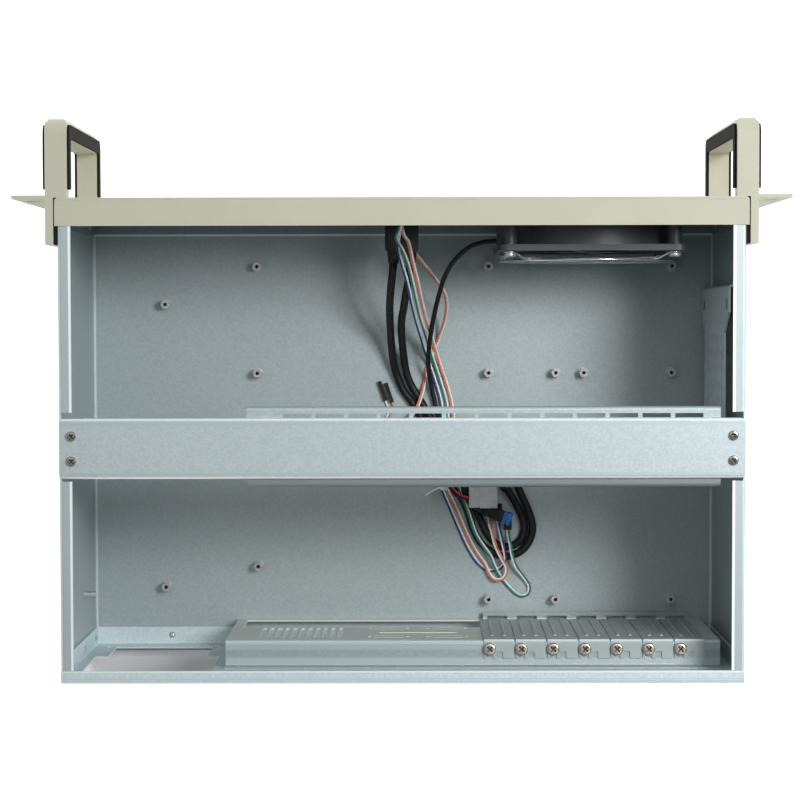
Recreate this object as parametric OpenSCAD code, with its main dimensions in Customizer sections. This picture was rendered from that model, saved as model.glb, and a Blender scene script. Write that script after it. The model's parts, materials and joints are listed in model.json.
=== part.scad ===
// Short-depth 4U rack mount chassis, lid off: folded steel tray, painted front panel, cast handles,
// cross bar, card bracket recess, cooling fan and front-panel leads.
// The front faces -Y, the lid side faces +Z, and the origin is the middle of the footprint.

/* [Body] */
// Outer width of the steel tray
body_w = 426; // [420:0.5:434]
// Height from the underside to the rim
body_h = 177; // [170:0.5:182]
// Depth from the face of the front panel to the back of the rear panel
chassis_d = 302.5; // [296:0.5:340]
// Thickness of the steel sheet
sheet_t = 1.2; // [1:0.1:1.5]
// Inside radius of a fold in the sheet
bend_r = 0.9; // [0.5:0.1:1.5]
// Width of the turned-in rim along both sides
rim_w = 8.2; // [7:0.2:10]
// Depth of the turned-in rim along the back
rear_rim_d = 8.3; // [7:0.1:12]
// Width of the flanges of the front bulkhead and the rear panel
pan_flange = 13; // [10:0.5:15]

/* [Front panel] */
// Thickness of the painted front panel
panel_t = 1.5; // [1.2:0.1:2]
// Depth of the front panel's returns over the body
panel_d = 17.5; // [14:0.5:20]
// Distance from the panel's face to the inside of the bulkhead
bulkhead_set = 7; // [5.5:0.1:8]
// Gap between the panel's returns and the tray
panel_gap = 0.2; // [0.1:0.05:0.5]
// Middle of the column of buttons, lamps and ports
control_x = 0.5; // [-20:0.5:20]

/* [Handles] */
// Reach of the handles in front of the panel
handle_reach = 49; // [42:0.2:54]
// Width of a handle bar across the chassis
bar_w = 13.4; // [10:0.2:14]
// Depth of a handle bar in the plane of its loop
bar_d = 12.5; // [10:0.5:14]
// Outer corner radius of a handle loop
loop_r = 10; // [7:0.5:12]
// Thickness of a grip cheek
cheek_t = 1.6; // [1.2:0.1:2]
// Width over the rack ears
ear_span = 482.6; // [480:0.1:484]
// Thickness of a rack ear
ear_t = 2.2; // [2:0.1:3.5]
// Thickness of the lug that holds a handle to the side
lug_t = 5; // [4:0.2:6]
// Depth of the lug behind the face of the panel
lug_d = 29; // [24:0.5:34]
// Thickness of the black spacer between the lug and the tray
spacer_t = 2.5; // [2:0.1:3]
// Spacing of the rack slots across the chassis
rack_w = 465.1; // [464:0.1:466]
// Spacing of the rack slots up one ear
rack_h = 101.6; // [88.9:0.1:133.4]
// Width of a rack slot
rack_slot_h = 6.8; // [6:0.1:7.5]
// Length of a rack slot
rack_slot_l = 10.2; // [9:0.1:12]

/* [Cross bar] */
// Width of the cross bar
cross_w = 37.8; // [34:0.1:42]
// Distance from the cross bar's back edge to the back of the chassis
cross_set = 128.2; // [120:0.2:140]
// Depth of the cross bar's folded edges
cross_lip = 5; // [4:0.2:8]
// Width of the hold-down strip under the cross bar
strip_w = 50.2; // [48:0.2:56]
// Left end of the hold-down strip
strip_x1 = 96.8; // [90:0.2:110]
// Right end of the hold-down strip
strip_x0 = -198; // [-204:0.5:-196]
// Number of windows in the hold-down strip
window_count = 13; // [8:1:13]
// Width of one window
window_w = 17.6; // [14:0.2:18]
// Length of one window
window_l = 38; // [20:1:40]

/* [Rear] */
// Pitch of the card slots
slot_pitch = 20.32; // [20.32:0.01:20.32]
// Number of card slots
slot_count = 7; // [7:1:7]
// Screw of the first card slot
slot_x0 = -55.6; // [-57:0.1:-55]
// Height of the shelf that the card brackets are screwed to
shelf_h = 130; // [124:0.5:136]
// Depth of the recess under the shelf
recess_d = 20.5; // [16:0.5:24]
// Left end of the recess
recess_x1 = 113.6; // [112:0.2:116]
// Right end of the recess
recess_x0 = -203; // [-206:0.5:-202]
// Width of the board connector aperture
io_w = 158.75; // [150:0.05:160]
// Height of the board connector aperture
io_h = 44.45; // [40:0.05:46]
// Middle of the power supply aperture
psu_x = 162.5; // [160:0.5:164]

/* [Board] */
// Height of the board standoffs above the tray's floor
standoff_h = 9; // [6:0.5:12]
// Width of a standoff across its flats
standoff_af = 5.5; // [5:0.1:6]
// Distance of the rear row of standoffs from the back
board_set = 35.5; // [33:0.5:38]
// Column of standoffs that the others are measured from
board_x = -58.2; // [-60:0.1:-56]

/* [Fan] */
// Width of the fan
fan_w = 120; // [118:0.5:120]
// Depth of the fan
fan_d = 25; // [22:0.5:26]
// Middle of the fan across the chassis
fan_x = -121.1; // [-125:0.5:-118]
// Height of the fan's axis
fan_z = 72; // [66:0.5:90]
// Spacing of the fan's screws
fan_pitch = 105; // [104.5:0.1:105.5]
// Number of blades
blade_count = 7; // [5:1:9]
// Radius of the fan's shaft
shaft_r = 1.5; // [1.2:0.1:2]

/* [Hidden] */
$fn = 48;
play = 0.2;
bore_play = 0.05;

half_w = body_w / 2;
front_y = (handle_reach - chassis_d) / 2;
rear_y = front_y + chassis_d;
bulk_y = front_y + bulkhead_set;
bulk_out_y = bulk_y - sheet_t;
panel_in_y = front_y + panel_t;
panel_end_y = front_y + panel_d;
tray_in = half_w - sheet_t;
// Plane of the rear wall, which steps in under its rim
wall_y = rear_y - 3.3;
wall_in_y = wall_y - sheet_t;
rim_drop = 7;
face_y = rear_y - sheet_t - recess_d;

cross_y1 = rear_y - cross_set;
cross_y0 = cross_y1 - cross_w;
cross_mid = (cross_y0 + cross_y1) / 2;
notch_front = 3.5;
notch_back = 1.5;
tab_w = 14;
tab_side = 2;
ledge_h = 12;
// From the edge of the right ledge to the middle of the stud beside it
stud_set = 8;
cross_screw_x = half_w - 7.6;
cross_screw_dy = 15.5;
strip_top = body_h - cross_lip;
strip_lip = 5;

psu_z0 = 18;
psu_step = 72;
psu_z1 = 146;
psu_low = 33;
psu_high = 41;
psu_hole_x = 74;
psu_hole_z = 138;
psu_hole_r = 2.1;

cover_w = 19.2;
cover_t = 0.9;
cover_tab = 11.4;
cover_shift = -6;
cover_foot = 4;
foot_w = 10;
foot_shift = -2.5;
foot_slot_w = 13.6;
lip_z = 6;
slot_open_w = 12.4;
slot_open_z0 = 16;
slot_open_z1 = 118;
io_x = 27.3;
io_z0 = 10;
lip_d = 5;

screw_hole_r = 1.6;
slot_screw_r = 4.1;
cross_screw_r = 3.1;

arm_x1 = half_w + spacer_t + lug_t;
arm_x0 = arm_x1 - bar_w;
lug_x0 = half_w + spacer_t;
loop_z0 = 1;
loop_z1 = body_h - 0.6;
ear_x1 = ear_span / 2;
cheek_out = 3.6;
cheek_in = 0.6;
edge_w = 2.2;
ear_step = 1.4;
ear_y0 = front_y - ear_step;
ear_screw_y = front_y + lug_d - 4.4;
ear_screw_z = [24, body_h / 2, body_h - 24];

control_hole = 0.25;
power_z = body_h * 0.7232;
reset_z = body_h * 0.5989;
power_led_z = body_h * 0.8249;
drive_led_z = body_h * 0.2712;
lamp_end_y = bulk_y + 5.15;
power_end_y = bulk_y + 7.65;
reset_end_y = bulk_y + 6.15;
power_r = 6;
reset_r = 4;
button_travel = 1.5;
led_r = 2.5;
usb_z = body_h * 0.4237;
usb_w = 21.8;
usb_h = 22;
usb_end_y = bulk_y + 24.95;
usb_pitch = 11;
port_w = 6;
port_h = 13.4;
relief_l = 7;
relief_end_y = usb_end_y + relief_l;

fan_hub_r = 20;
fan_bore_r = 57.5;
fan_flange_t = 4;
fan_hole_r = 2.15;
fan_tip_gap = 1.7;
base_t = 2.5;
tube_r = 5;
sleeve_r = 3.4;
wire_r = 0.8;
guard_z = fan_d + 5.6;

bracket_x = -tray_in + 6.8;
bracket_y0 = bulk_y + 47.15;
bracket_y1 = bracket_y0 + 110;
bracket_z0 = 3;
bracket_z1 = body_h - 15;

stud_r = 2;
nut_af = 7;
nut_t = 3.2;
panel_stud_x = [-half_w + 13.5, -40, 60, half_w - 13.5];
panel_stud_z = [20, body_h - 20];

usb_cord_r = 2.6;
fan_cord_r = 1.6;
lead_r = 0.75;
pair_gap = 0.82;

board_cols = [0, -124.46, 157.48, -45.72, -64.8];
board_rows = [0, -154.94, -227.33, -22.86];
board_points = [
    [0, 0], [0, 1], [0, 2], [1, 0], [1, 1], [1, 2], [2, 1], [2, 2], [2, 3], [3, 0], [3, 1], [4, 1]];
spare_points = [[psu_x - 0.7, rear_y - 237.35], [psu_x - 0.1, rear_y - 44.35]];

// Routes of the cords, chosen by hand
usb_route_1 = [
    [control_x + usb_pitch / 2, relief_end_y, usb_z], [7, -77.81, 72], [8.2, -67.05, 60],
    [8.7, -57.26, 45], [8.2, -39.65, 22], [6, -19.1, 7.6], [0, -3.1, 4.2], [-7, 6.9, 3.9],
    [-20, 30.9, 3.9], [-30, 51.9, 3.9], [-36, 63.9, 3.9], [-43, 77.9, 3.9], [-48, 92.9, 3.9],
    [-54, 102.9, 3.9], [-62, 108.9, 3.9], [-71, 110.9, 3.9], [-80, 107.9, 3.9], [-86, 100.9, 3.9],
    [-88.4, 91.9, 3.9], [-86.7, 82.9, 3.9], [-82.6, 72.9, 3.9], [-78.2, 62.9, 3.9], [-73.5, 50.9, 4],
    [-66.5, 39.4, 4.8], [-56, 34.9, 6.6], [-46.5, 39.4, 8.8], [-42, 50.9, 10], [-41.4, 60.9, 10.8],
    [-43, 68.9, 11.5], [-47, 74.5, 11.9], [-52.2, 77.5, 12], [-56.95, 79.26, 12]];
usb_route_2 = [
    [control_x - usb_pitch / 2, relief_end_y, usb_z], [-4, -77.81, 71], [-2, -67.05, 58.5],
    [-0.5, -58.24, 45.5], [1, -47.48, 30], [-0.2, -27.91, 10.5], [-3.8, -10.1, 4.6], [-13.4, 6.9, 3.9],
    [-26.6, 30.9, 3.9], [-36.4, 48.9, 3.9], [-42.2, 59.9, 3.9], [-49.2, 77.9, 3.9], [-53, 86.9, 3.9],
    [-58, 96.5, 3.9], [-65, 103.3, 3.9], [-73.6, 104.1, 3.9], [-80.4, 99.3, 3.9], [-82.6, 90.9, 3.9],
    [-80.4, 81.9, 4.1], [-76, 73.3, 4.9], [-72.5, 67.5, 5.6], [-69.75, 62.73, 5.7]];
fan_route = [
    [fan_x + fan_w / 2, bulk_y + 18.15, fan_z + 24], [-53, -101.1, 95.2], [-43, -97.6, 89],
    [-34, -89.6, 77], [-28, -79.77, 63], [-24, -67.05, 50], [-21, -54.33, 39], [-18.6, -40.63, 29],
    [-17.2, -26.93, 18.5], [-17.4, -17.1, 11.5], [-18.8, -7.1, 6.6], [-22, 6.9, 5], [-25, 20.9, 9],
    [-28.6, 34.9, 14.4], [-30.6, 46.9, 17], [-30.6, 55.9, 18.2], [-32.2, 62.9, 19.6],
    [-36.4, 67.8, 20.8], [-42, 69.3, 21.3], [-47.1, 69.3, 21.3]];
power_led_route = [
    [control_x, lamp_end_y, power_led_z], [0.9, -110.6, 145.6], [1.7, -107.4, 143], [2.6, -105.4, 138],
    [3.6, -103.2, 126], [2.6, -100.6, 111], [-0.2, -95.8, 99], [-3.5, -87.6, 88.6],
    [-6.5, -75.86, 77.6], [-9, -64.11, 60.6], [-12, -51.39, 39], [-16, -38.67, 19],
    [-20.8, -23.01, 5.8], [-26, -7.1, 2.4], [-29.6, 6.9, 2.3], [-30.6, 20.9, 4.8], [-32, 36.9, 8.4],
    [-34.4, 50.9, 8.8], [-38.5, 64.9, 8], [-44, 78.9, 7.8], [-49, 93.9, 7.8], [-54.5, 103.4, 7.8],
    [-59.5, 110.4, 7.6], [-63, 118.9, 5.2], [-67, 125.9, 2.7], [-72, 131.9, 2.3], [-76.5, 136.3, 2.3],
    [-81, 138.5, 2.3], [-85.4, 136.5, 2.4], [-86, 131.3, 3.2], [-82.4, 125.4, 4.8], [-77, 117.9, 7.6],
    [-74, 108.9, 8.6], [-73, 102.4, 8.2], [-72, 98.1, 5.2], [-71.6, 94.9, 3.2], [-71.5, 92.9, 2.7],
    [-71.5, 91.4, 2.7]];
power_switch_route = [
    [control_x, power_end_y, power_z], [0, -108.2, 127.5], [-1, -105, 124.8], [-2.2, -103.2, 120],
    [-3.8, -101.2, 111], [-5.2, -96, 100], [-7, -87.6, 89.6], [-9.9, -75.86, 77.6],
    [-12.4, -64.11, 60.6], [-15.5, -51.39, 39], [-19.6, -38.67, 19], [-24.4, -23.01, 5.8],
    [-29.6, -7.1, 2.4], [-33.2, 6.9, 2.3], [-34.4, 20.9, 4.8], [-32.4, 33.9, 10.8], [-30.6, 45.9, 10.8],
    [-29.75, 62.9, 5.7], [-35.4, 76.4, 2.5], [-41.4, 90.9, 2.1], [-46.4, 101.9, 2.1],
    [-51.4, 110.4, 2.1], [-55.8, 116.3, 3.4], [-58.4, 122.3, 5], [-62.6, 126.9, 5.6],
    [-68.4, 125.7, 6.4], [-70.6, 119.3, 7.8], [-67, 111.9, 9.6], [-63, 103.9, 8.8], [-61.4, 97.9, 8.2],
    [-60, 92.5, 7.2], [-59, 88.1, 5], [-58.6, 84.7, 3], [-58.5, 82.9, 2.7], [-58.5, 81.4, 2.7]];
reset_switch_route = [
    [control_x, reset_end_y, reset_z], [1.5, -108.6, 105.5], [2.6, -102.6, 100.6], [2.4, -95.6, 94.6],
    [0.4, -87.6, 87], [-3, -75.86, 76.6], [-5.6, -64.11, 59.6], [-8.6, -51.39, 38],
    [-12.4, -38.67, 18.4], [-17.2, -23.01, 5.8], [-22.4, -7.1, 2.6], [-26, 6.9, 2.5], [-27, 20.9, 5.8],
    [-26.8, 34.9, 9.2], [-26.4, 48.9, 8.4], [-26.25, 62.9, 5.7], [-31.4, 76.4, 2.5], [-37.9, 91.9, 2.1],
    [-43.6, 104.3, 2.1], [-50, 114.5, 2.1], [-57, 120.5, 2.1], [-63.6, 120.3, 2.3], [-68.4, 116.9, 4.2],
    [-69.6, 111.4, 7.6], [-68, 102.9, 8.4], [-66.6, 96.3, 5], [-65.4, 91.5, 3], [-65, 88.5, 2.7],
    [-65, 85.4, 2.7]];
drive_led_route = [
    [control_x, lamp_end_y, drive_led_z], [0, -109.6, 48.4], [-3, -102.6, 50], [-8.5, -94.6, 51.5],
    [-15, -86.62, 50], [-22, -77.81, 44], [-27.5, -69.99, 35], [-29.5, -62.16, 26], [-28.5, -51.39, 14],
    [-24.5, -38.67, 4.2], [-20, -27.91, 2.2], [-15.8, -16.1, 2.2], [-14.4, -7.1, 3.4],
    [-12.6, -0.1, 7.2], [-9.8, 7.9, 8], [-5, 15.4, 7.8], [1, 22.9, 5], [6.8, 25.9, 2.7],
    [11.2, 22.6, 2.5], [11, 16.8, 2.6], [8.8, 11.9, 2.8]];

usb_plug_size = [20, 8.6, 8];
usb_plug_tip = 5;
usb_plug_turns = [160, -60];
fan_plug_size = [19, 14.5, 9.6];
fan_plug_turn = 180;
plug_entry = 2.5;
pin_entry = 1.5;
header_size = [5.2, 12, 2.6];
pin_size = [2.6, 14, 2.6];
pin_turn = 18;
pin_ends = [
    [[7, 9.3, 2.8], [7.3, 6.7, 2.8], [8.06, 4.07, 2.8]],
    [[10.2, 8.9, 2.8], [11.4, 6.3, 2.8], [12.46, 2.97, 2.8]]];
tie_at = [-28, 62.9, 5.7];
tail_turn = 26;
tail_drop = 15;
tie_r = 3.65;

steel = "#b4bec2";
beige = "#bdbca6";
black = "#232426";
bright = "#d9dcdd";

// Folded sheet

// Left-hand normal of a direction
function left_of(d) = [-d[1], d[0]];
function way(a, b) = (b - a) / norm(b - a);
function backwards(list) = [for (k = [len(list) - 1:-1:0]) list[k]];

// One face of a folded strip: side 0 follows the points, side 1 lies one thickness to their left,
// or to their right when the thickness is given as negative
function fold_face(points, t, side) =
    let (last = len(points) - 1, thick = abs(t))
    concat(
        [points[0] + side * t * left_of(way(points[0], points[1]))],
        [for (k = [1:1:last - 1])
            let (
                in_way = way(points[k - 1], points[k]),
                out_way = way(points[k], points[k + 1]),
                leftward = in_way[0] * out_way[1] - in_way[1] * out_way[0] > 0,
                wrapped = leftward == (t > 0),
                point_r = wrapped ? bend_r + thick : bend_r,
                face_r = wrapped ? bend_r + thick - side * thick : bend_r + side * thick,
                middle = points[k] + point_r * (out_way - in_way))
            for (a = [0:22.5:90]) middle - face_r * cos(a) * out_way + face_r * sin(a) * in_way],
        [points[last] + side * t * left_of(way(points[last - 1], points[last]))]);

// Section of a sheet folded at right angles along the points
module fold(points, t = sheet_t) {
    polygon(concat(fold_face(points, t, 0), backwards(fold_face(points, t, 1))));
}

// Extrudes an XZ section along Y, a YZ section along X, or an XY section along Z
module along_y(y0, y1) {
    translate([0, y1, 0]) rotate([90, 0, 0]) linear_extrude(y1 - y0) children();
}
module along_x(x0, x1) {
    translate([x0, 0, 0]) rotate([90, 0, 90]) linear_extrude(x1 - x0) children();
}
module along_z(z0, z1) {
    translate([0, 0, z0]) linear_extrude(z1 - z0) children();
}

module block(low, high) {
    translate(low) cube(high - low);
}
module pin_y(x, z, r, y0, y1) {
    translate([x, y1, z]) rotate([90, 0, 0]) cylinder(r = r, h = y1 - y0);
}
module pin_x(y, z, r, x0, x1) {
    translate([x0, y, z]) rotate([0, 90, 0]) cylinder(r = r, h = x1 - x0);
}
module both_sides() {
    children();
    mirror([1, 0, 0]) children();
}
// A slot with round ends, length l along X and width w
module slot_shape(l, w) {
    square([l - w, w], center = true);
    for (s = [-1, 1]) translate([s * (l - w) / 2, 0]) circle(d = w);
}

// Body

module base_tray() {
    rim_z = body_h - panel_t - play;
    rear_cut_y = rear_y - rear_rim_d - play;
    color(steel) difference() {
        along_y(bulk_out_y, rear_y)
            fold([[-half_w + rim_w, body_h], [-half_w, body_h], [-half_w, 0],
                [half_w, 0], [half_w, body_h], [half_w - rim_w, body_h]]);
        // Under the front panel's top return the walls are lower and have no rim
        both_sides() block([half_w - rim_w - 1, bulk_out_y - 1, rim_z],
            [half_w + 1, panel_end_y + play, body_h + 1]);
        both_sides() block([half_w - rim_w - 1, bulk_out_y - 1, rim_z - sheet_t - bend_r - 1],
            [tray_in, panel_end_y + play, body_h + 1]);
        // The cross bar drops into a notch of each rim
        both_sides() block([half_w - rim_w - 1, cross_y0 - notch_front, body_h - sheet_t],
            [half_w + 1, cross_y1 + notch_back, body_h + 1]);
        both_sides() block([half_w - rim_w - 1, cross_y0 - notch_front, body_h - 3 * sheet_t - bend_r],
            [tray_in, cross_y1 + notch_back, body_h + 1]);
        // The rear panel's rim lies on the ends of the walls
        both_sides() block([half_w - rim_w - 1, rear_cut_y, body_h - sheet_t - play],
            [half_w + 1, rear_y + 1, body_h + 1]);
        both_sides() block([half_w - rim_w - 1, rear_cut_y, body_h - 2 * sheet_t - bend_r - 1],
            [tray_in, rear_y + 1, body_h + 1]);
        both_sides() for (z = ear_screw_z) pin_x(ear_screw_y, z, 2.05, tray_in - 1, half_w + 1);
        for (p = standoff_places()) translate([p[0], p[1], -1]) cylinder(r = 2.2, h = sheet_t + 2);
    }
}

// Angle inside each side wall that an end of the cross bar is screwed to
module bar_ledges() {
    x1 = tray_in - play / 2;
    color(steel) both_sides() difference() {
        along_y(cross_y0 + tab_side, cross_y1 - tab_side)
            fold([[x1, body_h - ledge_h], [x1, body_h - sheet_t], [half_w - tab_w, body_h - sheet_t]]);
        for (s = [-1, 1]) translate([cross_screw_x, cross_mid + s * cross_screw_dy / 2, body_h - 6])
            cylinder(r = screw_hole_r, h = 8);
    }
}

module front_bulkhead() {
    top = body_h - panel_t - play;
    span = tray_in - play;
    relief = bend_r + play;
    color(steel) difference() {
        union() {
            along_x(-span + relief, span - relief) fold([[bulk_out_y + pan_flange, sheet_t],
                [bulk_out_y, sheet_t], [bulk_out_y, top],
                [bulk_out_y + panel_d - bulkhead_set - play, top]], -sheet_t);
            along_z(sheet_t * 2 + bend_r + 1, top - sheet_t - bend_r - 1)
                fold([[span, bulk_out_y + pan_flange], [span, bulk_out_y], [-span, bulk_out_y],
                    [-span, bulk_out_y + pan_flange]], -sheet_t);
        }
        pin_y(fan_x, fan_z, fan_bore_r - 1, bulk_out_y - 1, bulk_y + 1);
        for (sx = [-1, 1], sz = [-1, 1])
            pin_y(fan_x + sx * fan_pitch / 2, fan_z + sz * fan_pitch / 2, 2, bulk_out_y - 1, bulk_y + 1);
        block([control_x - usb_w / 2 - play, bulk_out_y - 1, usb_z - usb_h / 2 - play],
            [control_x + usb_w / 2 + play, bulk_y + 1, usb_z + usb_h / 2 + play]);
        pin_y(control_x, power_z, power_r + control_hole, bulk_out_y - 1, bulk_y + 1);
        pin_y(control_x, reset_z, reset_r + 1 + control_hole, bulk_out_y - 1, bulk_y + 1);
        for (z = [power_led_z, drive_led_z])
            pin_y(control_x, z, led_r + control_hole, bulk_out_y - 1, bulk_y + 1);
        for (x = panel_stud_x, z = panel_stud_z) pin_y(x, z, stud_r + 0.15, bulk_out_y - 1, bulk_y + 1);
    }
}

// Rear

module rear_panel() {
    span = tray_in - play;
    relief = bend_r + play;
    low = sheet_t;
    color(steel) difference() {
        union() {
            along_x(-span + relief, span - relief) fold([[rear_y - rear_rim_d, body_h], [rear_y, body_h],
                [rear_y, body_h - rim_drop], [wall_y, body_h - rim_drop], [wall_y, low],
                [wall_y - pan_flange, low]], -sheet_t);
            // Over the ends of the side walls only the rim is left
            both_sides() intersection() {
                along_x(span - relief - 1, half_w) fold([[rear_y - rear_rim_d, body_h], [rear_y, body_h],
                    [rear_y, body_h - 10]], -sheet_t);
                block([0, rear_y - 20, body_h - sheet_t], [half_w + 1, rear_y + 1, body_h + 1]);
            }
            along_z(low + sheet_t + bend_r + 1, body_h - rim_drop - 2 * sheet_t - bend_r - 1)
                fold([[span, wall_y - pan_flange], [span, wall_y], [-span, wall_y],
                    [-span, wall_y - pan_flange]], sheet_t);
        }
        // The recess is open to the back
        block([recess_x0, wall_y - pan_flange - 1, -1], [recess_x1, rear_y + 1, shelf_h + 0.1]);
        along_y(wall_in_y - 1, wall_y + 1) psu_outline();
        for (sx = [-1, 1], sz = [-1, 1])
            pin_y(psu_x + sx * psu_hole_x / 2, (psu_z0 + psu_z0 + psu_hole_z) / 2 + sz * psu_hole_z / 2,
                psu_hole_r, wall_in_y - 1, wall_y + 1);
    }
}

// Power supply aperture, narrow below for the lower screws
module psu_outline() {
    translate([psu_x - psu_low, psu_z0]) square([2 * psu_low, psu_step - psu_z0 + 1]);
    translate([psu_x - psu_high, psu_step]) square([2 * psu_high, psu_z1 - psu_step]);
}

function slot_x(k) = slot_x0 - k * slot_pitch;
function blade_x(k) = slot_x(k) + cover_shift;
function foot_x(k) = blade_x(k) + foot_shift;

module slot_box() {
    under = shelf_h - sheet_t;
    rear_lip = 9;
    color(steel) difference() {
        union() {
            along_x(recess_x0, recess_x1) fold([[wall_in_y, shelf_h + rear_lip], [wall_in_y, under],
                [face_y + sheet_t, under], [face_y + sheet_t, sheet_t]], -sheet_t);
            along_x(blade_x(slot_count - 1) - 12, blade_x(0) + 7.3) fold([[face_y + sheet_t, 20],
                [face_y + sheet_t, lip_z], [face_y - lip_d, lip_z]], -sheet_t);
            for (x = [recess_x0, recess_x1 - sheet_t])
                block([x, face_y + sheet_t / 2, sheet_t], [x + sheet_t, wall_y, shelf_h - sheet_t / 2]);
        }
        block([io_x - io_w / 2, face_y - 1, io_z0], [io_x + io_w / 2, face_y + sheet_t + 1, io_z0 + io_h]);
        for (k = [0:slot_count - 1]) {
            block([blade_x(k) - slot_open_w / 2, face_y - 1, slot_open_z0],
                [blade_x(k) + slot_open_w / 2, face_y + sheet_t + 1, slot_open_z1]);
            block([foot_x(k) - foot_slot_w / 2, face_y - 2.4, lip_z - 1],
                [foot_x(k) + foot_slot_w / 2, face_y - 0.02, lip_z + sheet_t + bend_r + 0.2]);
            translate([slot_x(k), face_y + 5.2, shelf_h - 5]) cylinder(r = screw_hole_r, h = 10);
        }
        along_y(face_y - 1, face_y + sheet_t + 1) io_perforations();
    }
}

// Vent slots and connector knock-outs above the board connector aperture
module io_perforations() {
    vent_x = 91.5;
    vent_pitch = 5.07;
    vent_z = 88;
    vent_l = 56;
    vent_w = 3;
    for (k = [0:10]) translate([vent_x - k * vent_pitch, vent_z]) rotate(90) slot_shape(vent_l, vent_w);
    for (x = [9, -29], z = [62, 109]) translate([x, z]) {
        for (s = [-1, 1]) {
            translate([0, s * 4.6]) square([19, 1.2], center = true);
            translate([s * 12.5, 0]) circle(r = 1.6);
        }
    }
    translate([-10, 86]) slot_shape(52, 5);
}

// Blank cover of card slot k, its tab screwed to the shelf
module slot_cover(k) {
    x0 = blade_x(k) - cover_w / 2;
    x1 = blade_x(k) + cover_w / 2;
    y1 = face_y - 0.05;
    y0 = y1 - cover_t;
    rib_z0 = 22;
    rib_z1 = 112;
    color(bright) difference() {
        union() {
            block([x0, y0, cover_foot + 12], [x1, y1, shelf_h + cover_t]);
            block([foot_x(k) - foot_w / 2, y0, cover_foot], [foot_x(k) + foot_w / 2, y1, cover_foot + 13]);
            block([x0, y0, shelf_h], [x1, face_y + cover_tab, shelf_h + cover_t]);
            for (s = [-1, 1]) translate([blade_x(k) + s * 3.9, y0 + 0.35, rib_z0])
                cylinder(r = 1, h = rib_z1 - rib_z0, $fn = 24);
        }
        // Screw notch, and the slot beside it
        translate([slot_x(k), face_y + 5.2, shelf_h - 1]) cylinder(r = 2.2, h = 4);
        block([slot_x(k) - 2.2, face_y + 5.2, shelf_h - 1],
            [slot_x(k) + 2.2, face_y + cover_tab + 1, shelf_h + 3]);
        block([blade_x(k) - 2.4, face_y + 7, shelf_h - 1],
            [blade_x(k) + 1.4, face_y + cover_tab + 1, shelf_h + 3]);
    }
}

// Pan head screw standing on z = 0 with its shank below, cross recess in the head
module pan_screw(head_r, head_h, shank_r, shank_l) {
    difference() {
        union() {
            rotate_extrude() polygon([[0, 0.01], [head_r, 0.01], [head_r, head_h * 0.45],
                for (a = [0:22.5:90]) [head_r * (0.62 + 0.38 * cos(a)), head_h * (0.45 + 0.55 * sin(a))],
                [0, head_h]]);
            translate([0, 0, -shank_l]) cylinder(r = shank_r, h = shank_l + head_h * 0.3);
        }
        for (turn = [45, 135]) rotate(turn)
            translate([0, 0, head_h]) cube([head_r * 1.15, head_r * 0.28, head_h * 1.1], center = true);
    }
}

module slot_screws() {
    color(bright) for (k = [0:slot_count - 1])
        translate([slot_x(k), face_y + 5.2, shelf_h + cover_t])
            pan_screw(slot_screw_r, 2.8, 1.5, cover_t + 5);
}

// Cross bar and hold-down strip

module cross_bar() {
    reach = half_w - tab_w - 1;
    color(steel) difference() {
        along_x(-half_w, half_w) fold([[cross_y0, body_h - cross_lip], [cross_y0, body_h],
            [cross_y1, body_h], [cross_y1, body_h - cross_lip]], -sheet_t);
        // The folded edges stop short of the side walls
        both_sides() block([reach, cross_y0 - 1, body_h - cross_lip - 1],
            [half_w + 1, cross_y1 + 1, body_h - sheet_t]);
        both_sides() for (y = [cross_y0, cross_y1]) translate([half_w, y, body_h - sheet_t - 1])
            rotate(45) cube([3.4, 3.4, 4 * sheet_t], center = true);
        both_sides() for (s = [-1, 1])
            translate([cross_screw_x, cross_mid + s * cross_screw_dy / 2, body_h - 5])
                cylinder(r = screw_hole_r + 0.3, h = 10);
    }
}

module cross_bar_screws() {
    color(bright) both_sides() for (s = [-1, 1])
        translate([cross_screw_x, cross_mid + s * cross_screw_dy / 2, body_h])
            pan_screw(cross_screw_r, 2, 1.5, 4);
}

function stud_places() = [[strip_x1 - 10, cross_mid], [tab_w + stud_set - half_w, cross_mid]];
function window_x(k) = strip_x1 - 22.6 - window_w / 2 - k * slot_pitch;

module hold_down_strip() {
    y0 = cross_mid - strip_w / 2 - 0.6;
    y1 = y0 + strip_w;
    margin = 4.2;
    color(steel) difference() {
        along_x(strip_x0, strip_x1) fold([[y0, strip_top - strip_lip], [y0, strip_top], [y1, strip_top],
            [y1, strip_top - strip_lip]], -sheet_t);
        for (k = [0:window_count - 1])
            block([window_x(k) - window_w / 2, y0 + margin, strip_top - 5],
                [window_x(k) + window_w / 2, y0 + margin + window_l, strip_top + 1]);
        for (p = stud_places()) translate([p[0], p[1], strip_top - 5]) cylinder(r = stud_r - 0.5, h = 10);
    }
}

// Clinch studs that hold the strip to the bar
module strip_studs() {
    color(bright) for (p = stud_places()) translate([p[0], p[1], 0]) {
        translate([0, 0, strip_top]) cylinder(r = stud_r + 1, h = body_h - sheet_t - strip_top);
        translate([0, 0, strip_top - sheet_t - nut_t - 1])
            cylinder(r = stud_r - 0.55, h = nut_t + sheet_t + 1);
        translate([0, 0, strip_top - sheet_t - nut_t]) cylinder(d = nut_af / cos(30), h = nut_t, $fn = 6);
    }
}

// Front panel and handles

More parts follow.
